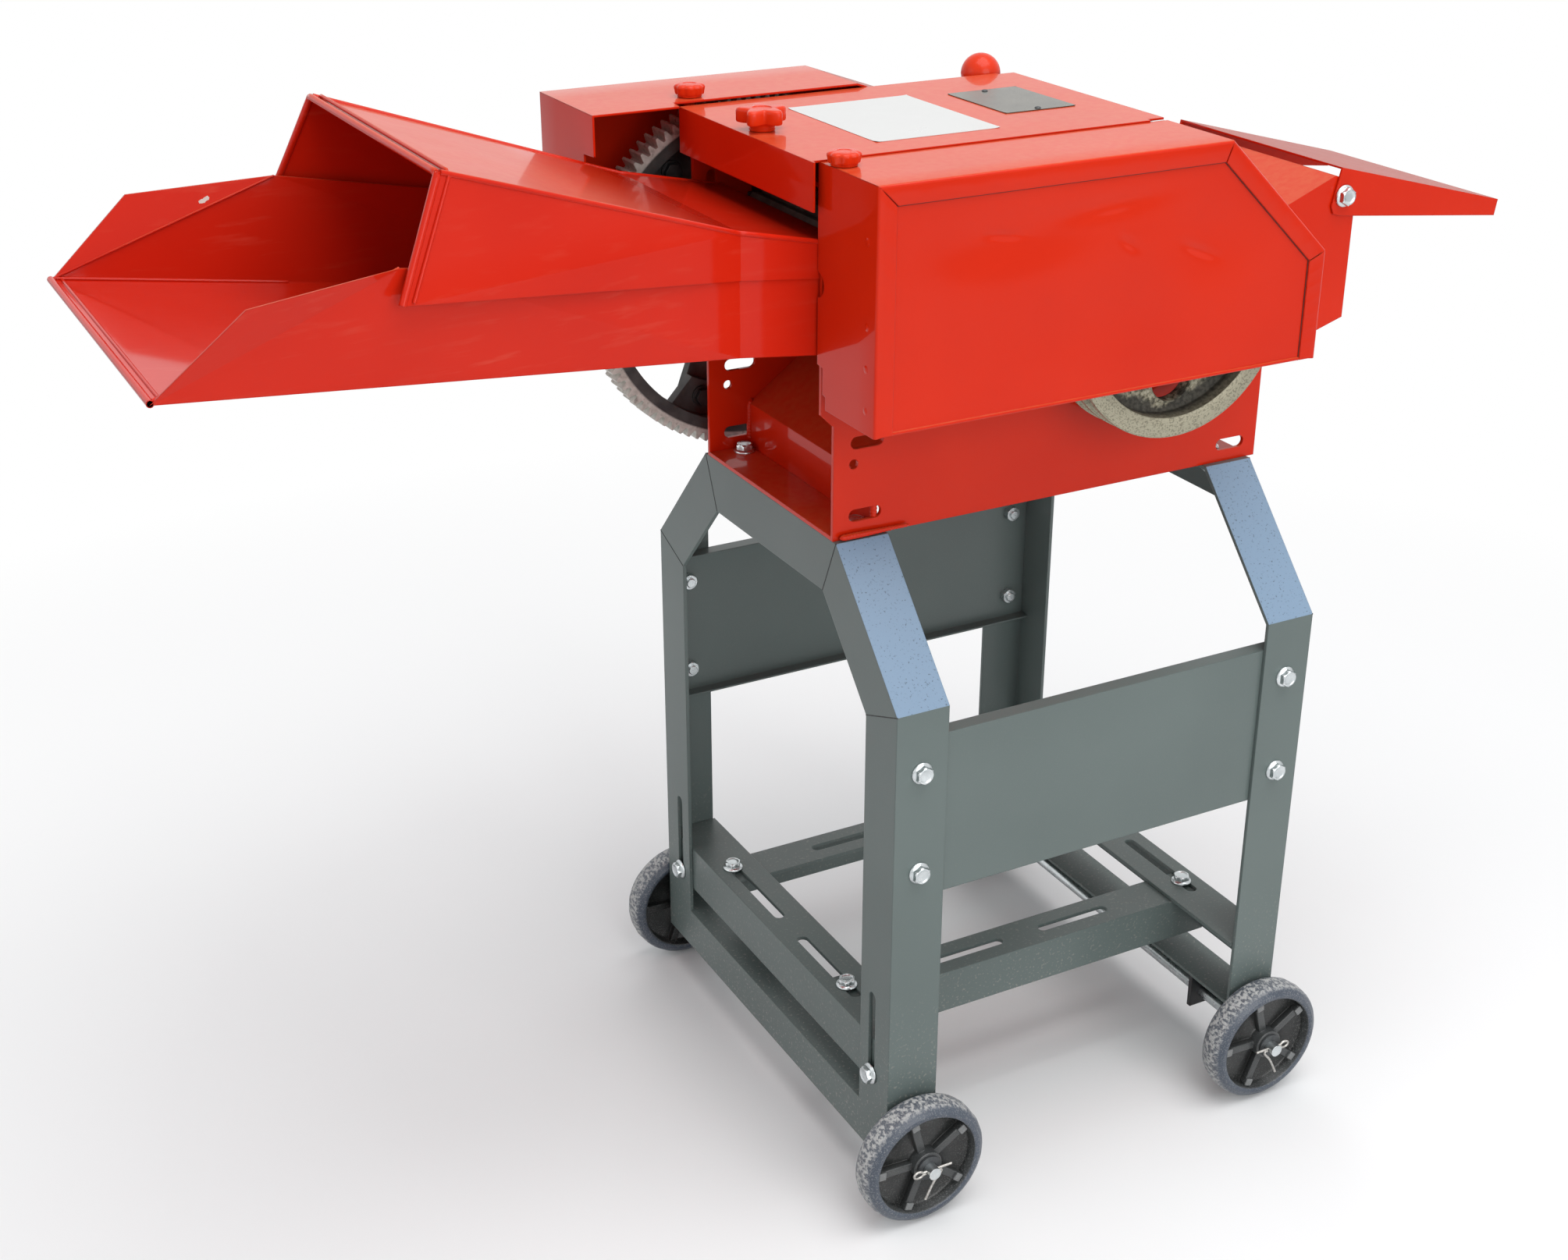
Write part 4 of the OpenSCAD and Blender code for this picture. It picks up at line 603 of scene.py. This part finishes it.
piece("nameplate_pins", [over_rings(at(np.stack([x + pins[:, :1] * np.cos(turn), y + pins[:, :1] * np.sin(turn),
                                                 COVER_TOP + pins[:, 1:] + 0 * turn], -1)))
                         for x, y in ((202.1, -28.5), (202.1, 40.5))], dull_steel, "top_cover", "zinc_steel")

# Pulley guard and gear guard
# Each is one sheet folded to a shallow box: the rim's edge is turned over as a 14 mm strip on all sides
# but the bottom, slit at the corners, and the face plate behind the strips is dented.
PULLEY_GUARD = (-12.0, 618.0, 782.7, 263.0, 353.0, 697.0)
GEAR_GUARD = (-91.5, 618.0, 786.8, 128.0, 335.0, 715.0)
PULLEY_FACE, GEAR_FACE = 172.3, 182.0


def guard_corner(outline, inset):
    """Corners of a guard's outline moved inwards by inset: where each pair of moved edges meets."""
    left, bottom, top, bend, right, low = outline
    across = np.array([top - low, right - bend]) / math.hypot(top - low, right - bend)
    slope = across @ (bend, top) - inset
    return np.array([(left + inset, bottom), (left + inset, top - inset),
                     ((slope - across[1] * (top - inset)) / across[0], top - inset),
                     (right - inset, (slope - across[0] * (right - inset)) / across[1]), (right - inset, bottom)])


def folded_rim(outline, deep, side, edge, inner, stops):
    """One wall with its turned strip: each point of the profile slides between the outline's moved corners."""
    outside = np.array([(0, 98.3), (0, 104), (0, 120), (0, 150), (0, deep - 2), (0.14, deep - 1.25),
                        (0.55, deep - 0.6), (1.15, deep - 0.18), (2, deep), (6, deep), (13.5, deep),
                        (13.9, deep - 0.15), (14, deep - 0.5)])
    inside = np.array([(1.5, 98.3), (1.5, 104), (1.5, 120), (1.5, 150), (1.5, deep - 3.3), (1.55, deep - 2.4),
                       (1.7, deep - 1.9), (2, deep - 1.55), (2.5, deep - 1.44), (6, deep - 1.44), (13.5, deep - 1.44),
                       (13.8, deep - 1.44), (14, deep - 1.4)])
    sheets = []
    for profile in (outside, inside):
        corners = np.array([guard_corner(outline, inset) for inset in profile[:, 0]])
        start, end = corners[:, edge], corners[:, edge + 1]
        slit = np.where(profile[:, 0] > 2.2, 0.55, 0.0) / np.linalg.norm(end - start, axis=1)
        share = stops[:, None] * (1 - 2 * slit) + slit
        plan = start + share[:, :, None] * (end - start)
        depth = np.repeat(profile[None, :, 1], len(stops), axis=0)
        depth[:, :2] = inner(plan[:, 0])[:, None] + (0, 5.7)
        depth[:, 1] = np.minimum(depth[:, 1], 119)
        wave = 0.18 * np.sin(share * 23 + edge) * np.clip(profile[:, 0] / 6, 0, 1)
        sheets.append(at(np.stack([plan[..., 0], side * (depth - np.abs(wave)), plan[..., 1]], -1)))
    return sheets


def face_plate(outline, deep, side, dents):
    """Plate behind the strips: its height runs from the bottom to the sloping top, pushed in by soft dents."""
    left, bottom, top, bend, right, low = outline
    x = np.linspace(left + 1.7, right - 1.7, 260)[:, None] + np.zeros((1, 150))
    rise = np.minimum(top - 1.7, top - 1.7 - (x - bend + 0.8) * (top - low) / (right - bend))
    z = bottom + np.linspace(0, 1, 150) * (rise - bottom)
    push = 0.22 * np.sin(x / 31 + z / 47) * np.sin(z / 25)
    for cx, cz, long, wide, lean, deepest in dents:
        cos, sin = math.cos(math.radians(lean)), math.sin(math.radians(lean))
        run, lift = (x - cx) * cos + (z - cz) * sin, (z - cz) * cos - (x - cx) * sin
        push = push + deepest * np.exp(-(run / long) ** 2 - (lift / wide) ** 2)
    face = at(np.stack([x, side * (deep - 1.7 - np.clip(push, 0, 4)), z], -1))
    hem = straight((left + 2, side * (deep - 1.7), bottom + 1.3), (right - 2, side * (deep - 1.7), bottom + 1.3), 90)
    return sheet_between(face, face - (0, side * 0.0015, 0)) + [rod_along(at(hem), 0.0013, 8)]


def near_edge(place):
    """Inner edge of the pulley guard's front wall, with a half-round notch and two steps at the foot."""
    notch = np.sqrt(np.clip(72 - (place[:, 1] - 702) ** 2, 0, None))
    return 95.6 + np.maximum(notch, np.where(place[:, 1] < 628, 11.4, np.where(place[:, 1] < 647, 7.4, 0)))


def plain_edge(place):
    """Inner edge of the other walls, at one depth all along."""
    return 98.3 + 0 * place[:, 0]


even = np.linspace(0, 1, 181)
skins = []
for edge, inner in enumerate((near_edge, plain_edge, plain_edge, plain_edge)):
    skins += sheet_between(*folded_rim(PULLEY_GUARD, PULLEY_FACE, -1, edge, inner, even))
skins += face_plate(PULLEY_GUARD, PULLEY_FACE, -1, (
    (92, 738, 60, 20, 0, 2.4), (250, 718, 40, 30, -30, 2.0), (150, 668, 110, 30, 0, 1.0), (300, 660, 32, 40, 0, 0.9),
    (20, 690, 26, 60, 0, 0.7), (165, 750, 40, 7, 4, 1.2), (84, 739.5, 13, 2.6, -8, 1.0), (183, 722, 8, 3, -35, 1.0),
    (243.6, 709.6, 13, 3, -24, 1.3)))
turn = np.linspace(0, 2 * np.pi, 20, endpoint=False)
dot = np.array([(2.6, -0.3), (2.5, 0.0), (1.9, 0.28), (1.0, 0.42), (0.3, 0.46)])
skins += [over_rings(at(np.stack([-12 - dot[:, 1:] + 0 * turn, y + dot[:, :1] * np.cos(turn),
                                  z + dot[:, :1] * np.sin(turn)], -1)))
          for y, z in ((-160, 634), (-160, 662), (-160.5, 690), (-159.5, 745))]
piece("pulley_guard_shell", skins, red_paint, "machine", "red_paint", "pulley_guard", corner=32.0)

skins = []
for edge, inner in ((0, lambda place: np.where(place[:, 1] > 756.8, 84.3, 102.0)),
                    (1, lambda place: np.where(place[:, 0] < -23.9, 84.3, 98.3)), (3, plain_edge)):
    skins += sheet_between(*folded_rim(GEAR_GUARD, GEAR_FACE, 1, edge, inner, even))
SLOT = (0.541, 0.618)
stops = np.concatenate([np.linspace(0, SLOT[0], 60), np.linspace(*SLOT, 12)[1:], np.linspace(SLOT[1], 1, 45)[1:]])
sloping = folded_rim(GEAR_GUARD, GEAR_FACE, 1, 2, plain_edge, stops)
for cut in (np.s_[:60, :], np.s_[59:71, :2], np.s_[59:71, 3:], np.s_[70:, :]):
    skins += sheet_between(*(sheet[cut] for sheet in sloping))
skins += face_plate(GEAR_GUARD, GEAR_FACE, 1, (
    (-20, 700, 70, 40, 8, 1.6), (120, 668, 60, 24, 0, 1.4), (230, 690, 40, 26, -20, 1.2), (40, 742, 30, 9, 6, 1.0),
    (170, 706, 12, 3, -30, 0.9)))
piece("gear_guard_shell", skins, red_paint, "machine", "red_paint", "gear_guard", corner=32.0)

# Painted shadow lines of the guards
# Thin dark red rods along the inner edge of the turned strips, painted as the shadow the strips cast.
# Painted shade: this dark red stands for the shadow along the strips' inner edges.
painted_strip_shadow = plain_finish("painted_strip_shadow", (200.0, 4.0), ((0.3, (0.045, 0.008, 0.006)), (0.7, (0.12, 0.016, 0.010))),
                        0.0, 0.8, ((700.0, 0.3, 0.0003),))
skins = []
for outline, y in ((PULLEY_GUARD, -170.7), (GEAR_GUARD, 180.4)):
    lines = np.insert(guard_corner(outline, 14.25), 1, y, axis=1)
    skins += [rod_along(at(straight(lines[k], lines[k + 1], 60)), 0.00040, 6) for k in range(4)]
piece("guard_strip_shadows", skins, painted_strip_shadow, "machine", "red_paint")

# Knobs of the cover, the guards and the clutch lever
# Gloss red phenolic mouldings on steel studs: a five-lobed star, two fluted knobs and a ball with a
# faint moulding line round its middle.


def moulding(middle, stations, outline, sides=120):
    """Knob in rings: each is a circle, or the outline drawn in by an inset, at its height above the middle."""
    turn = np.linspace(0, 2 * np.pi, sides, endpoint=False)
    radius, share, inset, height = np.array(stations, float).T[:, :, None]
    out = radius * (1 - share) + (outline(turn) - inset) * share
    rings = np.stack([out * np.cos(turn), out * np.sin(turn), height + 0 * turn], -1)
    return over_rings(at(np.array(middle) + rings))


knob_plastic = plain_finish("knob_plastic", (60.0,), ((0.3, (0.60, 0.028, 0.004)), (0.7, (0.66, 0.036, 0.006))),
                            0.0, (130.0, 4.0, 0.16, 0.30), ((500.0, 0.05, 0.0003),), shine=0.22)
STAR = ((3.3, 0, 0, -22.3), (4, 0, 0, -21.5), (4, 0, 0, 0), (8.5, 0, 0, 0), (9, 0, 0, 0.5), (9, 0, 0, 1.6),
        (8.6, 0, 0, 1.9), (8.6, 0, 0, 2.4), (9, 0, 0, 2.7), (9, 0, 0, 4.4), (9.5, 0, 0, 4.9), (0, 1, 1.6, 5.1),
        (0, 1, 0.5, 5.45), (0, 1, 0, 6.3), (0, 1, 0, 12.6), (0, 1, 0.3, 13.7), (0, 1, 1.0, 14.5), (0, 1, 2.2, 14.9),
        (0, 1, 3.6, 15), (7.0, 0, 0, 15), (6.7, 0, 0, 14.5), (6.2, 0, 0, 14.3), (0.5, 0, 0, 14.4))
piece("star_knob_moulding", [moulding((-3, 0, 784.1), STAR, lambda turn: 14.6 + 3.4 * np.cos(5 * turn))],
      knob_plastic, "star_knob", "knob_plastic", "star_knob", corner=45.0)
FLUTED = ((4, 0, 0, 0), (8.6, 0, 0, 0), (8.9, 0, 0, 0.3), (8.9, 0, 0, 1.5), (0, 1, 1.3, 1.7), (0, 1, 0.8, 2.3),
          (0, 1, 0.5, 4.2), (0, 1, 0.1, 6.0), (0, 1, 0, 6.6), (0, 1, 0.1, 7.5), (0, 1, 0.7, 8.2), (0, 1, 1.7, 8.7),
          (0, 1, 3.2, 9.0), (5.0, 0, 0, 9.1), (4.7, 0, 0, 8.8), (0.4, 0, 0, 8.8))
for name, side, top in (("pulley_guard_knob", -1, 782.7), ("gear_guard_knob", 1, 786.8)):
    stud = ((3.4, 0, 0, 763.0 - top), (4, 0, 0, 763.8 - top))
    piece(name + "_moulding", [moulding((-3, side * 113, top + 0.3), stud + FLUTED,
                                        lambda turn: 11.3 - 1.0 * (0.5 + 0.5 * np.cos(8 * turn)) ** 2)],
          knob_plastic, name, "knob_plastic", name, corner=45.0)
BALL_RADIUS = 15.2
tilt = np.linspace(math.asin(6.4 / BALL_RADIUS), np.pi - 0.02, 48)
ball = np.stack([BALL_RADIUS * np.sin(tilt), 0 * tilt, 0 * tilt, -BALL_RADIUS * np.cos(tilt)], -1)
ball[:, 0] += 0.10 * np.exp(-(ball[:, 3] / 0.5) ** 2)
ball = np.concatenate([[(5.6, 0, 0, -14.1), (6.1, 0, 0, -14.05)], ball])
piece("ball_knob_moulding", [moulding((247.91, 117, 781), ball, lambda turn: turn)],
      knob_plastic, "clutch_lever", "knob_plastic", "ball_knob", corner=50.0)

# Pulley
# Cast iron, the rim and grooves turned bright, the web left rough, with a dark ring of painted shade over the outer
# web and the rim's inner wall.
SHAFT_X, SHAFT_Z = 247.91, 659.0
bare_iron, tree, shader = new_finish("bare_iron")
from_shaft = away_from(tree, at((SHAFT_X, 0, SHAFT_Z)))
lathe = tree.nodes.new("ShaderNodeTexNoise")
lathe.noise_dimensions = "1D"
lathe.inputs["Scale"].default_value = 2600.0
tree.links.new(from_shaft, lathe.inputs["W"])
machined = spread(tree, from_shaft, 0.0, 1.0, 0.0738, 0.0748)
rough = shade(tree, grain(tree, 330.0, 6.0), ((0.38, (0.075, 0.068, 0.045)), (0.50, (0.30, 0.275, 0.195)),
                                              (0.66, (0.50, 0.47, 0.36))))
# Painted shade: the outer web and the rim's inner wall are painted dark as the recess's shadow, with a ragged inner
# edge.
ragged_radius = sums(tree, "ADD", from_shaft, spread(tree, grain(tree, 90.0, 5.0), -0.006, 0.006, 0.3, 0.7))
rim_painted_shade = sums(tree, "MULTIPLY", spread(tree, ragged_radius, 0.0, 0.88, 0.0632, 0.0680), sums(tree, "SUBTRACT", 1.0, machined))
rough = blend_colours(tree, rim_painted_shade, rough, (0.030, 0.028, 0.024))
bright = shade(tree, lathe.outputs["Fac"], ((0.3, (0.29, 0.270, 0.195)), (0.7, (0.44, 0.412, 0.310))))
pitted = spread(tree, grain(tree, 640.0, 4.0), 0.0, 0.60, 0.50, 0.62)
bright = blend_colours(tree, pitted, bright, (0.12, 0.105, 0.070))
feed(tree, blend_colours(tree, machined, rough, bright), shader.inputs["Base Color"])
feed(tree, spread(tree, machined, 0.15, 0.55), shader.inputs["Metallic"])
feed(tree, spread(tree, machined, 0.72, 0.52), shader.inputs["Roughness"])
relief(tree, shader, ((lathe.outputs["Fac"], 0.12, 0.0002), (grain(tree, 480.0, 5.0), 0.35, 0.0006)), 0.0008)


def turned(profile, middle, sides=144):
    """Closed profile of radius and depth carried round a line along Y through the middle."""
    turn = np.linspace(0, 2 * np.pi, sides, endpoint=False)
    radius, depth = np.array(profile, float).T[:, :, None]
    rings = np.stack([radius * np.cos(turn), depth + 0 * turn, radius * np.sin(turn)], -1)
    return skin(at(np.array(middle) + rings), True, True)


def web_part(bearing, inner=24.8, outer=75.2, hole=17.0):
    """A fifth of the web: rings from its round hole out to the sector's edge, each point on its own bearing."""
    half = math.radians(36)
    arc, edge = np.linspace(-half, half, 41)[:-1], np.linspace(0, 1, 25)[:-1]
    around = bearing + np.concatenate([arc, half + 0 * edge, -arc, -half + 0 * edge])
    away = np.concatenate([outer + 0 * arc, outer + (inner - outer) * edge,
                           inner + 0 * arc, inner + (outer - inner) * edge])
    rim = away[:, None] * np.stack([np.cos(around), np.sin(around)], -1)
    middle = 0.5 * (inner + outer) * np.array([math.cos(bearing), math.sin(bearing)])
    swing = np.arctan2(*(rim - middle).T[::-1])
    ring = middle + hole * np.stack([np.cos(swing), np.sin(swing)], -1)
    share, height = np.array([(0, 3.7), (0.02, 4.7), (0.05, 5.5), (0.12, 5.6), (0.2, 5.0), (0.4, 5),
                              (0.6, 5), (0.8, 5), (0.93, 5), (1, 5)]).T
    plan = ring + share[:, None, None] * (rim - ring)
    far = np.hypot(plan[..., 0], plan[..., 1])
    height = height[:, None] + 3 * np.clip((far - 69) / 6, 0, 1) ** 2 + 3 * np.clip((31 - far) / 6, 0, 1) ** 2
    front, back = (at((SHAFT_X, -134, SHAFT_Z) + np.stack([plan[..., 0], way * height, plan[..., 1]], -1))
                   for way in (-1, 1))
    walls = [skin(np.stack([front[0], back[0]]), False, True)]
    for span in (np.s_[0:41], np.s_[64:105]):
        walls.append(skin(np.stack([front[-1, span], back[-1, span]])))
    return [skin(front, False, True), skin(back, False, True)] + walls


RIM = [(75.2, 0), (88.4, 0), (89.2, 0.4), (89.5, 1.2), (89.5, 3.5), (78.5, 6.5), (78.5, 13.5), (89.5, 16.5),
       (89.5, 19.5), (78.5, 22.5), (78.5, 29.5), (89.5, 32.5), (89.5, 34.8), (89.2, 35.6), (88.4, 36), (75.2, 36),
       (74.6, 35.6), (74.4, 34.8), (73.6, 24), (73.6, 12), (74.4, 1.2), (74.6, 0.4)]
HUB = [(12.53, 0.8), (13.3, 0), (24.6, 0), (25.3, 0.5), (25.5, 1.4), (25.9, 12), (25.9, 24), (25.5, 34.6),
       (25.3, 35.5), (24.6, 36), (13.3, 36), (12.53, 35.2)]
skins = [turned(profile, (SHAFT_X, -152, SHAFT_Z)) for profile in (RIM, HUB)]
for bearing in np.radians(-85 + 72 * np.arange(5)):
    skins += web_part(bearing)
piece("pulley_casting", skins, bare_iron, "rotor", "bare_iron", "pulley", corner=35.0)

# Feed gear and the iron castings inside
# Black iron with a skin of oil and grass juice; the feed gear's teeth are painted a lighter grey as a highlight from
# above.
FEED_GEAR = (52, 0, 647.5)
gear_iron, tree, shader = new_finish("gear_iron")
tooth = spread(tree, away_from(tree, at(FEED_GEAR)), 0.0, 1.0, 0.1252, 0.1266)
web = shade(tree, grain(tree, 90.0, 5.0), ((0.3, (0.030, 0.030, 0.031)), (0.75, (0.080, 0.077, 0.072))))
# Painted highlight: the gear's teeth are painted a lighter grey, as lit from above.
wear_and_painted_light = shade(tree, grain(tree, 240.0, 4.0), ((0.3, (0.46, 0.445, 0.40)), (0.75, (0.66, 0.64, 0.59))))
grime = spread(tree, grain(tree, 160.0, 6.0), 0.0, 0.6, 0.58, 0.72)
feed(tree, blend_colours(tree, grime, blend_colours(tree, tooth, web, wear_and_painted_light), (0.060, 0.042, 0.026)),
     shader.inputs["Base Color"])
feed(tree, spread(tree, tooth, 0.2, 0.1), shader.inputs["Metallic"])
feed(tree, spread(tree, grain(tree, 140.0), 0.38, 0.62), shader.inputs["Roughness"])
relief(tree, shader, ((grain(tree, 420.0, 4.0), 0.3, 0.0007),), 0.0008)
dress(gear_iron, "feed_gear", "feed_gear_spider")
dark_iron = plain_finish("dark_iron", (90.0, 5.0), ((0.3, (0.022, 0.022, 0.024)), (0.75, (0.070, 0.068, 0.064))),
                         0.55, (140.0, 0.36, 0.62), ((500.0, 4.0, 0.3, 0.0006),), 0.0008)
dress(dark_iron, "bed_knife_beam", "bearings", "cutter_head", "feed_gear_bolts",
      "lower_roller_gear", "upper_roller_gear", "float_blocks", "pinion")

# Feed rollers
# Toothed iron bars, worn smooth by the straw and brown with its dust.
roller_iron = plain_finish("roller_iron", (70.0, 5.0), ((0.3, (0.060, 0.054, 0.046)), (0.75, (0.150, 0.138, 0.118))),
                           0.45, (160.0, 0.30, 0.52), ((420.0, 4.0, 0.2, 0.0005),), 0.0012)
dress(roller_iron, "lower_roller", "upper_roller")

# Roller springs
# Two coils of plated wire with closed ends, each pressed between a lug and the block of the upper roller.
coil = np.linspace(0, 16 * np.pi, 385)
rise = np.interp(coil, np.pi * np.array((0, 2, 14, 16)), (718.4, 720.3, 746.7, 748.6))
coils = [np.stack([52 + 4.6 * np.cos(coil), side * 105.5 + 4.6 * np.sin(coil), rise], -1) for side in (-1, 1)]
springs = piece("roller_spring_coils", [rod_along(at(path), 0.0009, 8) for path in coils],
                zinc_steel, "machine", "zinc_steel", "roller_springs", corner=80.0)
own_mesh(springs)

# Shaft, blades and bed knife
# Ground tool steel with fine grinding lines.
tool_steel = plain_finish("tool_steel", (60.0, 4.0, (1, 12, 1)),
                          ((0.3, (0.30, 0.30, 0.31)), (0.7, (0.50, 0.50, 0.50))),
                          1.0, 0.32, ((300.0, 2.0, (1, 14, 1), 0.1, 0.0003),), 0.0005)
dress(tool_steel, "bed_knife", "blades", "main_shaft")

# Floor, light and camera
# Pale seamless floor that fades to white, a high soft box, weaker ones in front, behind and at the
# feed end, and an even sky.
FLOOR_HALF = 12.0
u, v = np.meshgrid(np.linspace(-FLOOR_HALF, FLOOR_HALF, 2), np.linspace(-FLOOR_HALF, FLOOR_HALF, 2), indexing="ij")
floor_mesh = bpy.data.meshes.new("floor")
floor_mesh.from_pydata(np.stack([u.ravel(), v.ravel(), 0 * u.ravel() - 0.0005], 1).tolist(), [], [(0, 2, 3, 1)])
floor = bpy.data.objects.new("floor", floor_mesh)
bpy.context.scene.collection.objects.link(floor)
pale, tree, shader = new_finish("pale_floor")
shader.inputs["Base Color"].default_value = (0.86, 0.86, 0.86, 1)
shader.inputs["Roughness"].default_value = 0.9
shader.inputs["Specular IOR Level"].default_value = 0.0
glow = tree.nodes.new("ShaderNodeEmission")
glow.inputs["Color"].default_value = (1, 1, 1, 1)
path = tree.nodes.new("ShaderNodeLightPath")
fade = spread(tree, away_from(tree, (0, 0, 0), (1, 1, 1)), 0.0, 1.0, 0.55, 1.5)
mix = tree.nodes.new("ShaderNodeMixShader")
tree.links.new(sums(tree, "MULTIPLY", fade, path.outputs["Is Camera Ray"]), mix.inputs["Fac"])
tree.links.new(shader.outputs["BSDF"], mix.inputs[1])
tree.links.new(glow.outputs["Emission"], mix.inputs[2])
out = next(n for n in tree.nodes if n.type == "OUTPUT_MATERIAL")
tree.links.new(mix.outputs["Shader"], out.inputs["Surface"])
floor_mesh.materials.append(pale)

scene = bpy.context.scene
scene.view_settings.view_transform = "Standard"
sky = bpy.data.worlds.new("sky")
scene.world = sky
sky.use_nodes = True
tree = sky.node_tree
tree.nodes.clear()
out = tree.nodes.new("ShaderNodeOutputWorld")
path = tree.nodes.new("ShaderNodeLightPath")
lit, white = (tree.nodes.new("ShaderNodeBackground") for _ in range(2))
for glow, colour, strength in ((lit, (0.94, 0.97, 1.0), 0.44), (white, (1, 1, 1), 1.0)):
    feed(tree, colour, glow.inputs["Color"])
    feed(tree, strength, glow.inputs["Strength"])
looked_at = sums(tree, "MAXIMUM", path.outputs["Is Camera Ray"], path.outputs["Is Glossy Ray"])
looked_at = sums(tree, "MAXIMUM", looked_at, path.outputs["Is Transmission Ray"])
mix = tree.nodes.new("ShaderNodeMixShader")
tree.links.new(looked_at, mix.inputs["Fac"])
tree.links.new(lit.outputs["Background"], mix.inputs[1])
tree.links.new(white.outputs["Background"], mix.inputs[2])
tree.links.new(mix.outputs["Shader"], out.inputs["Surface"])


def soft_box(name, place, size, power, mirrored=True, target=(0.0, 0.0, 0.45)):
    """Square area lamp at a place, turned to face the target, left out of mirror images where mirrored is off."""
    lamp = bpy.data.lights.new(name, "AREA")
    lamp.size = size
    lamp.energy = power
    box = bpy.data.objects.new(name, lamp)
    aim = np.array(target) - np.array(place)
    flat = math.hypot(aim[0], aim[1])
    box.location = place
    box.visible_glossy = mirrored
    box.rotation_euler = (math.atan2(flat, -aim[2]), 0, math.atan2(-aim[0], aim[1]))
    scene.collection.objects.link(box)


soft_box("high_light", (0.2, -0.7, 3.2), 2.6, 74.0)
soft_box("front_light", (0.2, -3.2, 1.5), 2.2, 45.0)
soft_box("feed_light", (-3.2, 0.4, 1.4), 2.0, 11.0)
soft_box("back_light", (0.8, 3.2, 1.7), 2.2, 26.0, False)

LOOKS_DOWN, LOOKS_ASIDE = 25.171, 28.003
camera = bpy.data.cameras.new("photo_view")
camera.sensor_fit = "HORIZONTAL"
camera.sensor_width = 36.0
camera.lens = 48.944
eye = bpy.data.objects.new("photo_view", camera)
eye.location = (-0.7383, -1.2884, 1.0915)
eye.rotation_euler = (math.radians(90 - LOOKS_DOWN), 0, math.radians(-LOOKS_ASIDE))
scene.collection.objects.link(eye)
scene.camera = eye
